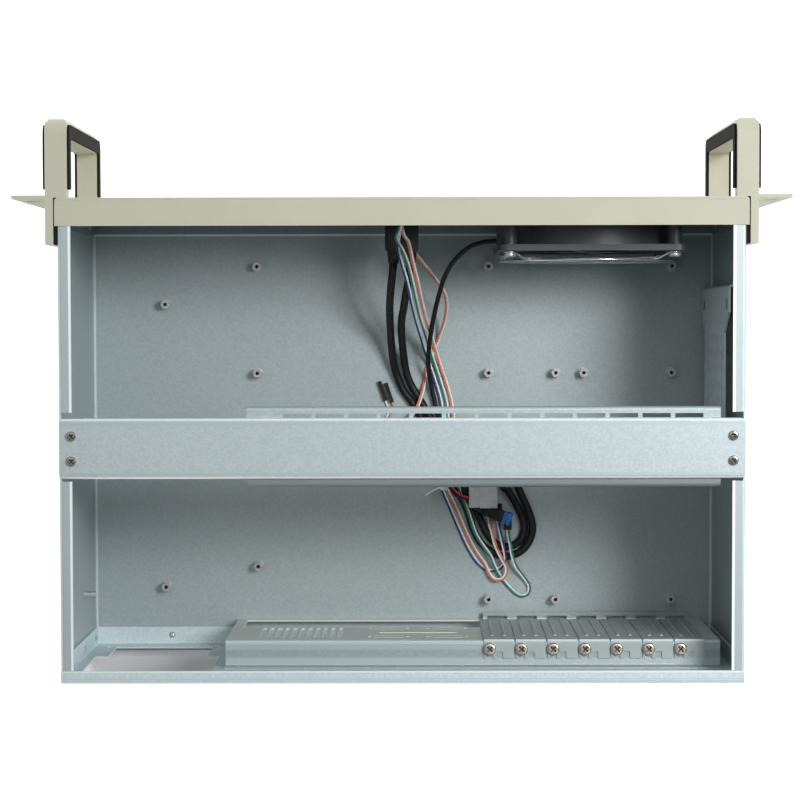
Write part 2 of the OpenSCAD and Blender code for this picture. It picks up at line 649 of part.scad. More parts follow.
module front_panel() {
    wide = half_w + panel_gap + panel_t;
    color(beige) difference() {
        union() {
            along_z(0.3, body_h) fold([[-wide, panel_end_y], [-wide, front_y], [wide, front_y],
                [wide, panel_end_y]], panel_t);
            along_x(-wide + panel_t + bend_r, wide - panel_t - bend_r)
                fold([[bulk_out_y - play, 0.3], [front_y, 0.3], [front_y, body_h],
                    [panel_end_y, body_h]], -panel_t);
            both_sides() block([wide - panel_t - bend_r - 0.1, front_y + panel_t, body_h - panel_t],
                [wide - 0.4, panel_end_y, body_h]);
            for (x = panel_stud_x, z = panel_stud_z)
                pin_y(x, z, stud_r, panel_in_y - 0.5, bulk_y + nut_t + 0.6);
        }
        along_y(front_y - 1, panel_in_y + 1) panel_openings();
    }
}

// Grille in front of the fan, and the holes of the control column
module panel_openings() {
    grille_r = 54;
    bar_h = 4;
    pitch = 8;
    rib = 2.5;
    translate([fan_x, fan_z]) for (row = [-6:6])
        let (chord = sqrt(grille_r * grille_r - pow(row * pitch, 2)) - rib)
        for (s = [-1, 1]) translate([s * (rib + chord / 2), row * pitch]) slot_shape(chord, bar_h);
    for (s = [-1, 1]) translate([control_x + s * usb_pitch / 2, usb_z])
        square([port_w + 0.6, port_h + 0.6], center = true);
    translate([control_x, power_z]) circle(r = power_r - 1 + control_hole);
    translate([control_x, reset_z]) circle(r = reset_r - 1 + control_hole);
    for (z = [power_led_z, drive_led_z]) translate([control_x, z]) circle(r = led_r + control_hole / 2);
}

module hex_nut_y(x, z, y) {
    translate([x, y + nut_t, z]) rotate([90, 0, 0]) difference() {
        cylinder(d = nut_af / cos(30), h = nut_t, $fn = 6);
        translate([0, 0, -1]) cylinder(r = stud_r + 0.02, h = nut_t + 2);
    }
}
module panel_nuts() {
    color(bright) for (x = panel_stud_x, z = panel_stud_z) hex_nut_y(x, z, bulk_y);
}

// Side view of a handle loop, inset by e from its outer edge and by i from its window, closed at the panel
module loop_shape(e, i) {
    y0 = -handle_reach + e;
    r = loop_r - e;
    inner_r = 3;
    wall = bar_d - i;
    difference() {
        union() {
            translate([y0, loop_z0 + e + r]) square([-y0, loop_z1 - loop_z0 - 2 * (e + r)]);
            translate([y0 + r, loop_z0 + e]) square([-y0 - r, loop_z1 - loop_z0 - 2 * e]);
            for (z = [loop_z0 + e + r, loop_z1 - e - r]) translate([y0 + r, z]) circle(r = r);
        }
        translate([-handle_reach + wall + inner_r, loop_z0 + wall])
            square([handle_reach, loop_z1 - loop_z0 - 2 * wall]);
        translate([-handle_reach + wall, loop_z0 + wall + inner_r])
            square([handle_reach, loop_z1 - loop_z0 - 2 * (wall + inner_r)]);
        for (z = [loop_z0 + wall + inner_r, loop_z1 - wall - inner_r])
            translate([-handle_reach + wall + inner_r, z]) circle(r = inner_r);
    }
}
// Wedge that takes the sharp edge off the front of a handle bar
module bar_edge(x, s) {
    y = front_y - handle_reach;
    translate([x, y, loop_z0 - 1]) linear_extrude(loop_z1 - loop_z0 + 2)
        polygon([[s, -1], [s, cheek_out - 0.4], [0, cheek_out - 0.4], [-s * edge_w, 0], [-s * edge_w, -1]]);
}

// Cast handle of the +X side: loop, lug along the side and rack ear
module handle() {
    lug_y1 = front_y + lug_d;
    color(beige) difference() {
        union() {
            translate([arm_x0, front_y, 0]) rotate([90, 0, 90]) linear_extrude(bar_w) loop_shape(0, 0);
            block([lug_x0, front_y - 1, loop_z0], [arm_x1, lug_y1, loop_z1]);
            block([lug_x0, ear_y0, loop_z0], [ear_x1, ear_y0 + ear_t, loop_z1]);
            // Fillet between the lug and the ear
            translate([0, 0, loop_z0]) linear_extrude(loop_z1 - loop_z0) difference() {
                translate([arm_x1 - 0.5, ear_y0 + ear_t - 0.5]) square(2);
                translate([arm_x1 + 1.5, ear_y0 + ear_t + 1.5]) circle(r = 1.5);
            }
        }
        bar_edge(arm_x0, -1);
        bar_edge(arm_x1, 1);
        along_y(ear_y0 - 1, ear_y0 + ear_t + 1) for (s = [-1, 1])
            translate([rack_w / 2, body_h / 2 + s * rack_h / 2]) slot_shape(rack_slot_l, rack_slot_h);
        for (z = ear_screw_z) {
            pin_x(ear_screw_y, z, 2.05, lug_x0 - 1, arm_x1 + 1);
            translate([arm_x1 - 2.2, ear_screw_y, z]) rotate([0, 90, 0])
                cylinder(r1 = 2.05, r2 = 4.25, h = 2.2);
        }
    }
}
module handle_left() {
    handle();
}
module handle_right() {
    mirror([1, 0, 0]) handle();
}

// Black cheek plate on one face of a handle loop
module cheek(x) {
    end = 5.4;
    color(black) intersection() {
        translate([x, front_y, 0]) rotate([90, 0, 90]) linear_extrude(cheek_t)
            loop_shape(cheek_out, cheek_in);
        block([x - 1, front_y - handle_reach - 1, -1], [x + cheek_t + 1, front_y - end, body_h + 1]);
    }
}
module grip_left_inner() {
    cheek(arm_x0 - cheek_t);
}
module grip_left_outer() {
    cheek(arm_x1);
}
module grip_right_inner() {
    mirror([1, 0, 0]) cheek(arm_x0 - cheek_t);
}
module grip_right_outer() {
    mirror([1, 0, 0]) cheek(arm_x1);
}

// Stepped spacer between a lug and the side of the body
module spacer() {
    wide = half_w + panel_gap + panel_t;
    color(black) difference() {
        union() {
            block([wide, front_y, loop_z0 + 1], [lug_x0, panel_end_y + 1, loop_z1 - 1]);
            block([half_w, panel_end_y + play, loop_z0 + 1], [lug_x0, front_y + lug_d, loop_z1 - 1]);
        }
        for (z = ear_screw_z) pin_x(ear_screw_y, z, 2.05, half_w - 1, lug_x0 + 1);
    }
}
module spacer_left() {
    spacer();
}
module spacer_right() {
    mirror([1, 0, 0]) spacer();
}

// Countersunk screws through lug, spacer and wall
module ear_screws() {
    head_r = 4.1;
    head_h = 2.1;
    shank_l = lug_t - head_h + spacer_t + sheet_t;
    color(bright) both_sides() for (z = ear_screw_z)
        translate([arm_x1 - head_h, ear_screw_y, z]) rotate([0, 90, 0]) difference() {
            union() {
                cylinder(r1 = 1.98, r2 = head_r, h = head_h);
                translate([0, 0, -shank_l]) cylinder(r = 1.98, h = shank_l + 0.01);
            }
            for (turn = [0, 90]) rotate(turn) translate([0, 0, head_h]) cube([4.6, 1, 2.4], center = true);
        }
}

// Board and small hardware

function standoff_places() = concat(spare_points,
    [for (p = board_points) [board_x + board_cols[p[0]], rear_y - board_set + board_rows[p[1]]]]);

module board_standoffs() {
    color(bright) for (p = standoff_places()) translate([p[0], p[1], 0]) difference() {
        union() {
            cylinder(r = 2.2, h = sheet_t + 1);
            translate([0, 0, sheet_t]) cylinder(r = 3.6, h = 0.8);
            translate([0, 0, sheet_t + 0.7])
                cylinder(d = standoff_af / cos(30), h = standoff_h - 0.7, $fn = 6);
        }
        translate([0, 0, -1]) cylinder(r = 1.25, h = standoff_h + sheet_t + 2);
    }
}

module wall_peg() {
    peg_y = rear_y - 44.55;
    peg_z = 60;
    color(bright) {
        pin_x(peg_y, peg_z, 2.3, tray_in - 7.4, tray_in);
        pin_x(peg_y, peg_z, 3.1, tray_in - 1, tray_in);
    }
}

// Domed rivet head on z = 0
module rivet(r) {
    rotate_extrude() intersection() {
        translate([0, -r * 0.75]) circle(r = r * 1.25);
        square([r, r]);
    }
}
module rivets() {
    side_x = tray_in - play - sheet_t;
    floor_x = [psu_x - 3.5];
    shelf_x = [recess_x1 - 7.6, slot_x0 + 18.4, recess_x0 + 13];
    color(bright) {
        for (x = floor_x) translate([x, wall_y - 7.4, 2 * sheet_t]) rivet(2.2);
        both_sides() for (share = [0.08, 0.42])
            translate([side_x, wall_y - 7, share * body_h]) rotate([0, -90, 0]) rivet(2.2);
        both_sides() for (share = [0.17, 0.5, 0.825])
            translate([side_x, bulk_out_y + 7.5, share * body_h]) rotate([0, -90, 0]) rivet(2.2);
        for (x = shelf_x) translate([x, wall_in_y - sheet_t, shelf_h + 6]) rotate([90, 0, 0]) rivet(2);
    }
}

// Pressed and perforated bracket on the right wall
module drive_bracket() {
    foot_x = -tray_in + sheet_t;
    foot = 12;
    y0 = bracket_y0 + sheet_t;
    y1 = bracket_y1 - sheet_t;
    color(steel) intersection() {
        difference() {
            along_z(bracket_z0, bracket_z1) fold([[foot_x, bracket_y0 + foot], [foot_x, y0],
                [bracket_x, y0], [bracket_x, y1], [foot_x, y1], [foot_x, bracket_y1 - foot]], -sheet_t);
            along_x(bracket_x - 0.5, bracket_x + sheet_t + 0.5) bracket_holes();
        }
        along_x(-tray_in - 1, -tray_in + 39) bracket_outline();
    }
}
module bracket_outline() {
    taper_y0 = bracket_y0 + 17;
    taper_y1 = bracket_y0 + 30;
    low = bracket_z0 + 17;
    high = bracket_z1 - 26;
    polygon([[bracket_y0 - 1, bracket_z0], [taper_y0, bracket_z0], [taper_y1, low], [bracket_y1 + 1, low],
        [bracket_y1 + 1, high], [taper_y1, high], [taper_y0, bracket_z1], [bracket_y0 - 1, bracket_z1]]);
}
module bracket_holes() {
    row_pitch = 9.9;
    for (z = [bracket_z0 + 12, bracket_z1 - 16])
        translate([bracket_y0 + 12, z]) rotate(90) slot_shape(16, 7);
    for (row = [0:6], z = [bracket_z0 + 31:11:bracket_z1 - 38])
        translate([bracket_y0 + 28 + row * row_pitch, z]) square([7.2, 4.4], center = true);
}

// Fan, drawn with its axis along Z and its intake at z = 0

module fan_place() {
    translate([fan_x, bulk_y, fan_z]) rotate([-90, 0, 0]) children();
}
module fan_corners() {
    for (sx = [-1, 1], sy = [-1, 1]) translate([sx * fan_pitch / 2, sy * fan_pitch / 2, 0]) children();
}
module fan_square() {
    r = 6;
    side = fan_w / 2;
    square([fan_w, fan_w - 2 * r], center = true);
    square([fan_w - 2 * r, fan_w], center = true);
    for (sx = [-1, 1], sy = [-1, 1]) translate([sx * (side - r), sy * (side - r)]) circle(r = r);
}

module fan_frame() {
    strut_w = 5;
    strut_t = 3.4;
    color(black) fan_place() {
        difference() {
            union() {
                linear_extrude(fan_flange_t) fan_square();
                translate([0, 0, fan_d - fan_flange_t]) linear_extrude(fan_flange_t) fan_square();
                cylinder(r = fan_bore_r + 1.9, h = fan_d, $fn = 96);
                fan_corners() cylinder(r = 4.6, h = fan_d);
            }
            translate([0, 0, -1]) cylinder(r = fan_bore_r, h = fan_d + 2, $fn = 96);
            fan_corners() translate([0, 0, -1]) cylinder(r = fan_hole_r, h = fan_d + 2);
        }
        difference() {
            union() {
                translate([0, 0, fan_d - base_t]) cylinder(r = fan_hub_r, h = base_t);
                for (turn = [12:90:282]) rotate(turn)
                    translate([fan_hub_r - 1, -strut_w / 2, fan_d - strut_t])
                        cube([fan_bore_r - fan_hub_r + 1.6, strut_w, strut_t]);
                translate([0, 0, 8]) cylinder(r = tube_r, h = fan_d - 9);
            }
            translate([0, 0, 7]) cylinder(r = sleeve_r, h = fan_d - 9);
        }
    }
}

// Rotor cup with its magnet ring, blades and shaft
module fan_rotor() {
    cap = 2;
    hub_z0 = 2;
    hub_z1 = 20;
    color("#2c2d30") fan_place() {
        difference() {
            translate([0, 0, hub_z0]) cylinder(r = fan_hub_r, h = hub_z1 - hub_z0);
            translate([0, 0, hub_z0 + cap]) cylinder(r = fan_hub_r - 3.6, h = hub_z1);
        }
        translate([0, 0, hub_z0 + 1]) cylinder(r = shaft_r, h = fan_d - base_t - hub_z0 - 2);
        translate([0, 0, hub_z0 + 1]) cylinder(r = 3, h = cap + 1.2);
        for (k = [0:blade_count - 1]) rotate(k * 360 / blade_count) fan_blade(hub_z0 + 1.5, hub_z1 - 1);
    }
}
// One blade: a curved plate between the hub and the tips
module fan_blade(z0, z1) {
    camber_r = 34;
    blade_t = 1.8;
    intersection() {
        difference() {
            translate([0, 0, z0]) cylinder(r = fan_bore_r - fan_tip_gap, h = z1 - z0, $fn = 96);
            translate([0, 0, z0 - 1]) cylinder(r = fan_hub_r - 1, h = z1 - z0 + 2);
        }
        translate([0, -26, z1 + 14]) rotate([0, 90, 0]) difference() {
            cylinder(r = camber_r, h = fan_bore_r, $fn = 96);
            translate([0, 0, -1]) cylinder(r = camber_r - blade_t, h = fan_bore_r + 2, $fn = 96);
        }
        translate([0, -30, 0]) cube([fan_bore_r, 60, fan_d]);
    }
}

// Laminated stator with its poles
module fan_stator() {
    pole_r = 14.6;
    core_z0 = 8.6;
    core_z1 = 17.6;
    color("#8a5a3c") fan_place() difference() {
        union() {
            translate([0, 0, core_z0]) cylinder(r = 8.5, h = core_z1 - core_z0);
            for (turn = [0:90:270]) rotate(turn) translate([0, 0, core_z0 + 1.5]) intersection() {
                cylinder(r = pole_r, h = core_z1 - core_z0 - 3);
                translate([0, -3.5, 0]) cube([pole_r, 7, fan_d]);
            }
        }
        translate([0, 0, core_z0 - 1]) cylinder(r = tube_r + bore_play, h = core_z1);
    }
}
module fan_sleeve() {
    color("#b58e4c") fan_place() difference() {
        translate([0, 0, 8]) cylinder(r = sleeve_r - 0.02, h = fan_d - 10.1);
        translate([0, 0, 7]) cylinder(r = shaft_r + bore_play, h = fan_d);
    }
}

// Ring of round wire about the Z axis
module wire_ring(r) {
    rotate_extrude($fn = 72) translate([r, 0]) circle(r = wire_r, $fn = 16);
}
module fan_guard() {
    eye_r = fan_pitch / 2 * sqrt(2);
    leg_r0 = 61;
    leg_r1 = eye_r - 3.6;
    spoke_z = guard_z - 1;
    eye_z = fan_d + wire_r + 0.02;
    slope = atan2(spoke_z - eye_z, leg_r1 - leg_r0);
    color(bright) fan_place() {
        for (r = [15, 26, 37, 48, 57]) translate([0, 0, guard_z]) wire_ring(r);
        for (turn = [45:90:315]) rotate(turn) {
            translate([14, 0, spoke_z]) rotate([0, 90, 0])
                cylinder(r = wire_r + 0.05, h = leg_r0 - 14, $fn = 16);
            translate([leg_r0, 0, spoke_z]) sphere(r = wire_r + 0.1, $fn = 16);
            translate([leg_r0, 0, spoke_z]) rotate([0, 90 + slope, 0])
                cylinder(r = wire_r, h = norm([leg_r1 - leg_r0, spoke_z - eye_z]), $fn = 16);
            translate([eye_r, 0, eye_z]) wire_ring(3.2);
        }
    }
}
module fan_screws() {
    color(bright) fan_place() fan_corners() translate([0, 0, fan_d + 2 * wire_r + 0.1])
        pan_screw(3.9, 2.4, 1.9, fan_d + 2 * wire_r + 0.1 + sheet_t);
}

// Control column

module usb_block() {
    r = 3;
    x0 = control_x - usb_w / 2;
    x1 = control_x + usb_w / 2;
    z0 = usb_z - usb_h / 2;
    z1 = usb_z + usb_h / 2;
    color(black) difference() {
        union() {
            block([x0, panel_in_y, z0], [x1, usb_end_y - r, z1]);
            block([x0 + r, panel_in_y, z0], [x1 - r, usb_end_y, z1]);
            for (x = [x0 + r, x1 - r]) translate([x, usb_end_y - r, z0]) cylinder(r = r, h = usb_h);
            for (s = [-1, 1]) translate([control_x + s * usb_pitch / 2, usb_end_y - 0.1, usb_z])
                rotate([-90, 0, 0])
                    cylinder(r1 = usb_cord_r + 1.6, r2 = usb_cord_r + 0.7, h = relief_l + 0.1);
        }
        // Moulded parting groove between the two halves
        block([control_x - 0.5, bulk_y + 2, z1 - 0.8], [control_x + 0.5, usb_end_y + 1, z1 + 1]);
        for (s = [-1, 1]) {
            x = control_x + s * usb_pitch / 2;
            block([x - port_w / 2, panel_in_y - 1, usb_z - port_h / 2],
                [x + port_w / 2, panel_in_y + 13, usb_z + port_h / 2]);
            pin_y(x, usb_z, usb_cord_r, usb_end_y - 4, relief_end_y + 6);
        }
    }
}
// Metal shells of the two ports, each with its contact tongue
module usb_ports() {
    wall = 0.5;
    depth = 12.6;
    y0 = front_y + 0.3;
    y1 = panel_in_y + depth;
    color(bright) for (s = [-1, 1]) translate([control_x + s * usb_pitch / 2, 0, usb_z]) {
        difference() {
            block([-port_w / 2 + 0.05, y0, -port_h / 2 + 0.05], [port_w / 2 - 0.05, y1, port_h / 2 - 0.05]);
            block([-port_w / 2 + wall, y0 - 1, -port_h / 2 + wall],
                [port_w / 2 - wall, y1 - wall, port_h / 2 - wall]);
        }
        block([0.4, y0 + 2, -port_h / 2 + 1.6], [2, y1 - wall / 2, port_h / 2 - 1.6]);
    }
}

// Push button: a cap with a collar that stops it behind the panel
module push_button(z, r, proud) {
    stop = 1;
    chamfer = 0.6;
    translate([control_x, front_y - proud, z]) rotate([-90, 0, 0]) {
        cylinder(r1 = r - 1 - chamfer, r2 = r - 1, h = chamfer);
        translate([0, 0, chamfer]) cylinder(r = r - 1, h = proud + panel_t - chamfer + 0.3);
        translate([0, 0, proud + panel_t + 0.1]) cylinder(r = r - 0.2, h = stop);
    }
}
// Switch body behind a button, its rear face at y1
module switch_body(z, r, y1) {
    y0 = panel_in_y + 1.1 + button_travel + 0.3;
    pin_y(control_x, z, r, y0, y1);
}
module power_button() {
    color("#3a3b3d") push_button(power_z, power_r, 2);
}
module power_switch() {
    color(black) {
        switch_body(power_z, power_r, power_end_y);
        for (s = [-1, 1])
            translate([control_x + 2 * s - 0.5, power_end_y - 0.1, power_z - 4]) cube([1, 2.1, 1.4]);
    }
}
module reset_button() {
    color("#3a3b3d") push_button(reset_z, reset_r, 1.6);
}
module reset_switch() {
    color(black) switch_body(reset_z, reset_r + 1, reset_end_y);
}
// Round lamp with a domed lens and a collar behind the panel
module lamp(z) {
    translate([control_x, 0, z]) rotate([-90, 0, 0]) {
        translate([0, 0, front_y - 0.2]) cylinder(r = led_r, h = lamp_end_y - front_y + 0.2);
        translate([0, 0, panel_in_y]) cylinder(r = led_r + 1, h = 1.2);
        intersection() {
            translate([0, 0, front_y + 1.2]) sphere(r = led_r + 0.3);
            translate([0, 0, front_y - 2]) cylinder(r = led_r, h = 3);
        }
    }
}
module power_led() {
    color("#3f9f6a") lamp(power_led_z);
}
module drive_led() {
    color("#c9852f") lamp(drive_led_z);
}

// Cords

// Catmull-Rom point between b and c
function between(a, b, c, d, t) =
    0.5 * (2 * b + (c - a) * t + (2 * a - 5 * b + 4 * c - d) * t * t + (3 * b - a - 3 * c + d) * t * t * t);
// Route with n steps between each pair of its points
function smooth(route, n) = let (last = len(route) - 1) concat([for (k = [0:last - 1], j = [0:n - 1])
    between(route[max(k - 1, 0)], route[k], route[k + 1], route[min(k + 2, last)], j / n)], [route[last]]);
function unit(v) = v / norm(v);
function heading(path, k) = unit(path[min(k + 1, len(path) - 1)] - path[max(k - 1, 0)]);
// Side direction, level with the floor except where the path is steep
function side_way(d) = let (steep = max(0, (abs(d[2]) - 0.4) / 0.6))
    unit(cross(d, [0, -sign(d[1] * d[2]) * steep, 1 - steep]));
// Path moved sideways by s
function beside(path, s) = [for (k = [0:len(path) - 1]) path[k] + s * side_way(heading(path, k))];
// Side directions of a path's rings, carried along without twist
function carried(path) = [for (k = 0, u = side_way(heading(path, 0)); k < len(path);
    k = k + 1, u = k < len(path) ? unit(u - (u * heading(path, k)) * heading(path, k)) : u) u];

module tube(path, r, sides = 8) {
    count = len(path);
    across = carried(path);
    rings = [for (k = [0:count - 1]) let (u = across[k], v = cross(u, heading(path, k)))
        for (j = [0:sides - 1]) path[k] + r * (cos(360 * j / sides) * u + sin(360 * j / sides) * v)];
    walls = [for (k = [0:count - 2], j = [0:sides - 1])
        let (a = k * sides, b = a + sides, i = (j + 1) % sides)
        each [[a + j, b + j, b + i], [a + j, b + i, a + i]]];
    near = [for (j = [0:sides - 1]) j];
    far = [for (j = [sides - 1:-1:0]) (count - 1) * sides + j];
    polyhedron(rings, concat([near], walls, [far]));
}
// Two wires side by side, whose ends may part towards two places
module wire_pair(route, colour, end_1 = [], end_2 = []) {
    path = smooth(route, 2);
    color(colour) tube(concat(beside(path, pair_gap), end_1), lead_r);
    color("white") tube(concat(beside(path, -pair_gap), end_2), lead_r);
}

module usb_cable_1() {
    color(black) tube(smooth(usb_route_1, 2), usb_cord_r, 10);
}
module usb_cable_2() {
    color(black) tube(smooth(usb_route_2, 3), usb_cord_r, 10);
}
module fan_lead() {
    color(black) tube(smooth(fan_route, 3), fan_cord_r);
}
module power_led_wires() {
    wire_pair(power_led_route, "#14826e");
}
module power_switch_wires() {
    wire_pair(power_switch_route, "#e1825a");
}
module reset_switch_wires() {
    wire_pair(reset_switch_route, "#143c82");
}
module drive_led_wires() {
    wire_pair(drive_led_route, "#e1825a", pin_ends[0], pin_ends[1]);
}

function end_of(route) = route[len(route) - 1];

// Plug of a port cable: the cable ends at the origin, inside the plug, and the plug lies along +X
module usb_plug() {
    size = usb_plug_size;
    translate([-plug_entry, -size[1] / 2, -size[2] / 2]) difference() {
        union() {
            cube(size);
            translate([size[0] - usb_plug_tip, -0.4, -0.4])
                cube([usb_plug_tip - 1, size[1] + 0.8, size[2] + 0.8]);
        }
        for (k = [0:4], j = [0, 1])
            translate([size[0] - 4, 1.2 + k * 1.4, 2.2 + j * 2.6]) cube([5, 0.8, 0.8]);
        translate([-1, size[1] / 2, size[2] / 2]) rotate([0, 90, 0])
            cylinder(r = usb_cord_r + 0.15, h = plug_entry + 1.1);
    }
}
module usb_plugs() {
    routes = [usb_route_1, usb_route_2];
    color(black) for (k = [0, 1]) translate(end_of(routes[k])) rotate(usb_plug_turns[k]) usb_plug();
}
module fan_plug() {
    size = fan_plug_size;
    color("#c8ccc8") translate(end_of(fan_route)) rotate(fan_plug_turn)
        translate([-plug_entry, -size[1] / 2, -size[2] / 2]) difference() {
            cube(size);
            for (k = [0:3]) translate([size[0] - 9, 1.3 + k * 3.2, 2.4]) cube([10, 2.3, 2.3]);
            for (x = [3, 8]) translate([x, -1, size[2] - 1]) cube([2, size[1] + 2, 2]);
            translate([-1, size[1] / 2, size[2] / 2]) rotate([0, 90, 0])
                cylinder(r = fan_cord_r + 0.15, h = plug_entry + 1.1);
        }
}
// Crimp housing with windows at the given sides of its middle, its wires ending at the origin
module crimp_housing(size, places) {
    translate([-size[0] / 2, pin_entry - size[1], -size[2] / 2]) difference() {
        cube(size);
        for (x = places) {
            translate([size[0] / 2 + x - 0.6, 2, size[2] - 0.5]) cube([1.2, 4, 1]);
            pin_y(size[0] / 2 + x, size[2] / 2, lead_r + 0.1, size[1] - pin_entry - 0.1, size[1] + 1);
        }
    }
}
module header_plugs() {
    color(black) {
        for (route = [power_led_route, power_switch_route, reset_switch_route])
            translate(end_of(route)) crimp_housing(header_size, [-pair_gap, pair_gap]);
        for (wire = pin_ends) translate(end_of(wire)) rotate(pin_turn) crimp_housing(pin_size, [0]);
    }
}

// Nylon tie round two of the wire pairs, with its lock and tail
module cable_tie() {
    band = 3.4;
    thick = 0.8;
    color("white") translate(tie_at) {
        rotate([90, 0, 0]) translate([0, 0, -band / 2]) difference() {
            cylinder(r = tie_r + thick, h = band);
            translate([0, 0, -1]) cylinder(r = tie_r, h = band + 2);
        }
        translate([-2.6, -band / 2 - 0.5, tie_r + 0.1]) cube([5.2, band + 1, 4]);
        translate([1.6, 0, tie_r + 2.2]) rotate([0, tail_drop, tail_turn])
            translate([0, -thick / 2, -1.3]) cube([13.4, thick, 2.6]);
    }
}

base_tray();
bar_ledges();
front_bulkhead();
rear_panel();
slot_box();
for (k = [0:slot_count - 1]) slot_cover(k);
slot_screws();
cross_bar();
cross_bar_screws();
hold_down_strip();
strip_studs();
front_panel();
panel_nuts();
handle_left();
handle_right();
grip_left_inner();
grip_left_outer();
grip_right_inner();
grip_right_outer();
spacer_left();
spacer_right();
ear_screws();
board_standoffs();
wall_peg();
rivets();
fan_frame();
fan_rotor();
fan_stator();
fan_sleeve();
fan_guard();
fan_screws();
usb_block();
usb_ports();
power_button();
power_switch();
reset_button();
reset_switch();
power_led();
drive_led();
drive_bracket();
usb_cable_1();
usb_cable_2();
fan_lead();
power_led_wires();
power_switch_wires();
reset_switch_wires();
drive_led_wires();
usb_plugs();
fan_plug();
header_plugs();
cable_tie();
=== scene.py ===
"""Looks for an open rack mount chassis: finishes for its sheet steel, paint and plastic, with detailed
cords, plugs, a cable tie and screw recesses, staged as a plain studio shot from above."""

import json
import math

import bpy
import numpy as np
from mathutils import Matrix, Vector


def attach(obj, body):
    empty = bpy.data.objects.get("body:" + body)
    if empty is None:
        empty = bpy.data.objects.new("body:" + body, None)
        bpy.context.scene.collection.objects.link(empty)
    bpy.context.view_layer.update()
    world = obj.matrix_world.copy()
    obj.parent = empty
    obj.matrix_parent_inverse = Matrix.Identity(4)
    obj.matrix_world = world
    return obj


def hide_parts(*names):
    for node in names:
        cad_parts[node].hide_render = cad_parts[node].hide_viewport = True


bl_info = {
    "name": "Rack mount chassis looks",
    "version": (1, 0, 0),
    "blender": (4, 5, 0),
    "location": "View3D > Sidebar > Chassis",
    "description": "Dresses the packed chassis with finishes, cords and plugs, and stages it",
    "category": "Object",
}

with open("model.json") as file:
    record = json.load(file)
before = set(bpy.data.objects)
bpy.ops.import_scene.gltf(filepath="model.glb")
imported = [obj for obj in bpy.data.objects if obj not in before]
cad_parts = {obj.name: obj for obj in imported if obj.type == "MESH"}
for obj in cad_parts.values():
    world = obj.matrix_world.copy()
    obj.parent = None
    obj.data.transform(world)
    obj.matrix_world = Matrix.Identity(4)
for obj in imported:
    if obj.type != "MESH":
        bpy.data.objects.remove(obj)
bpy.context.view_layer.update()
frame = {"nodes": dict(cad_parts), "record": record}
MM = 0.001
BODY = "chassis"

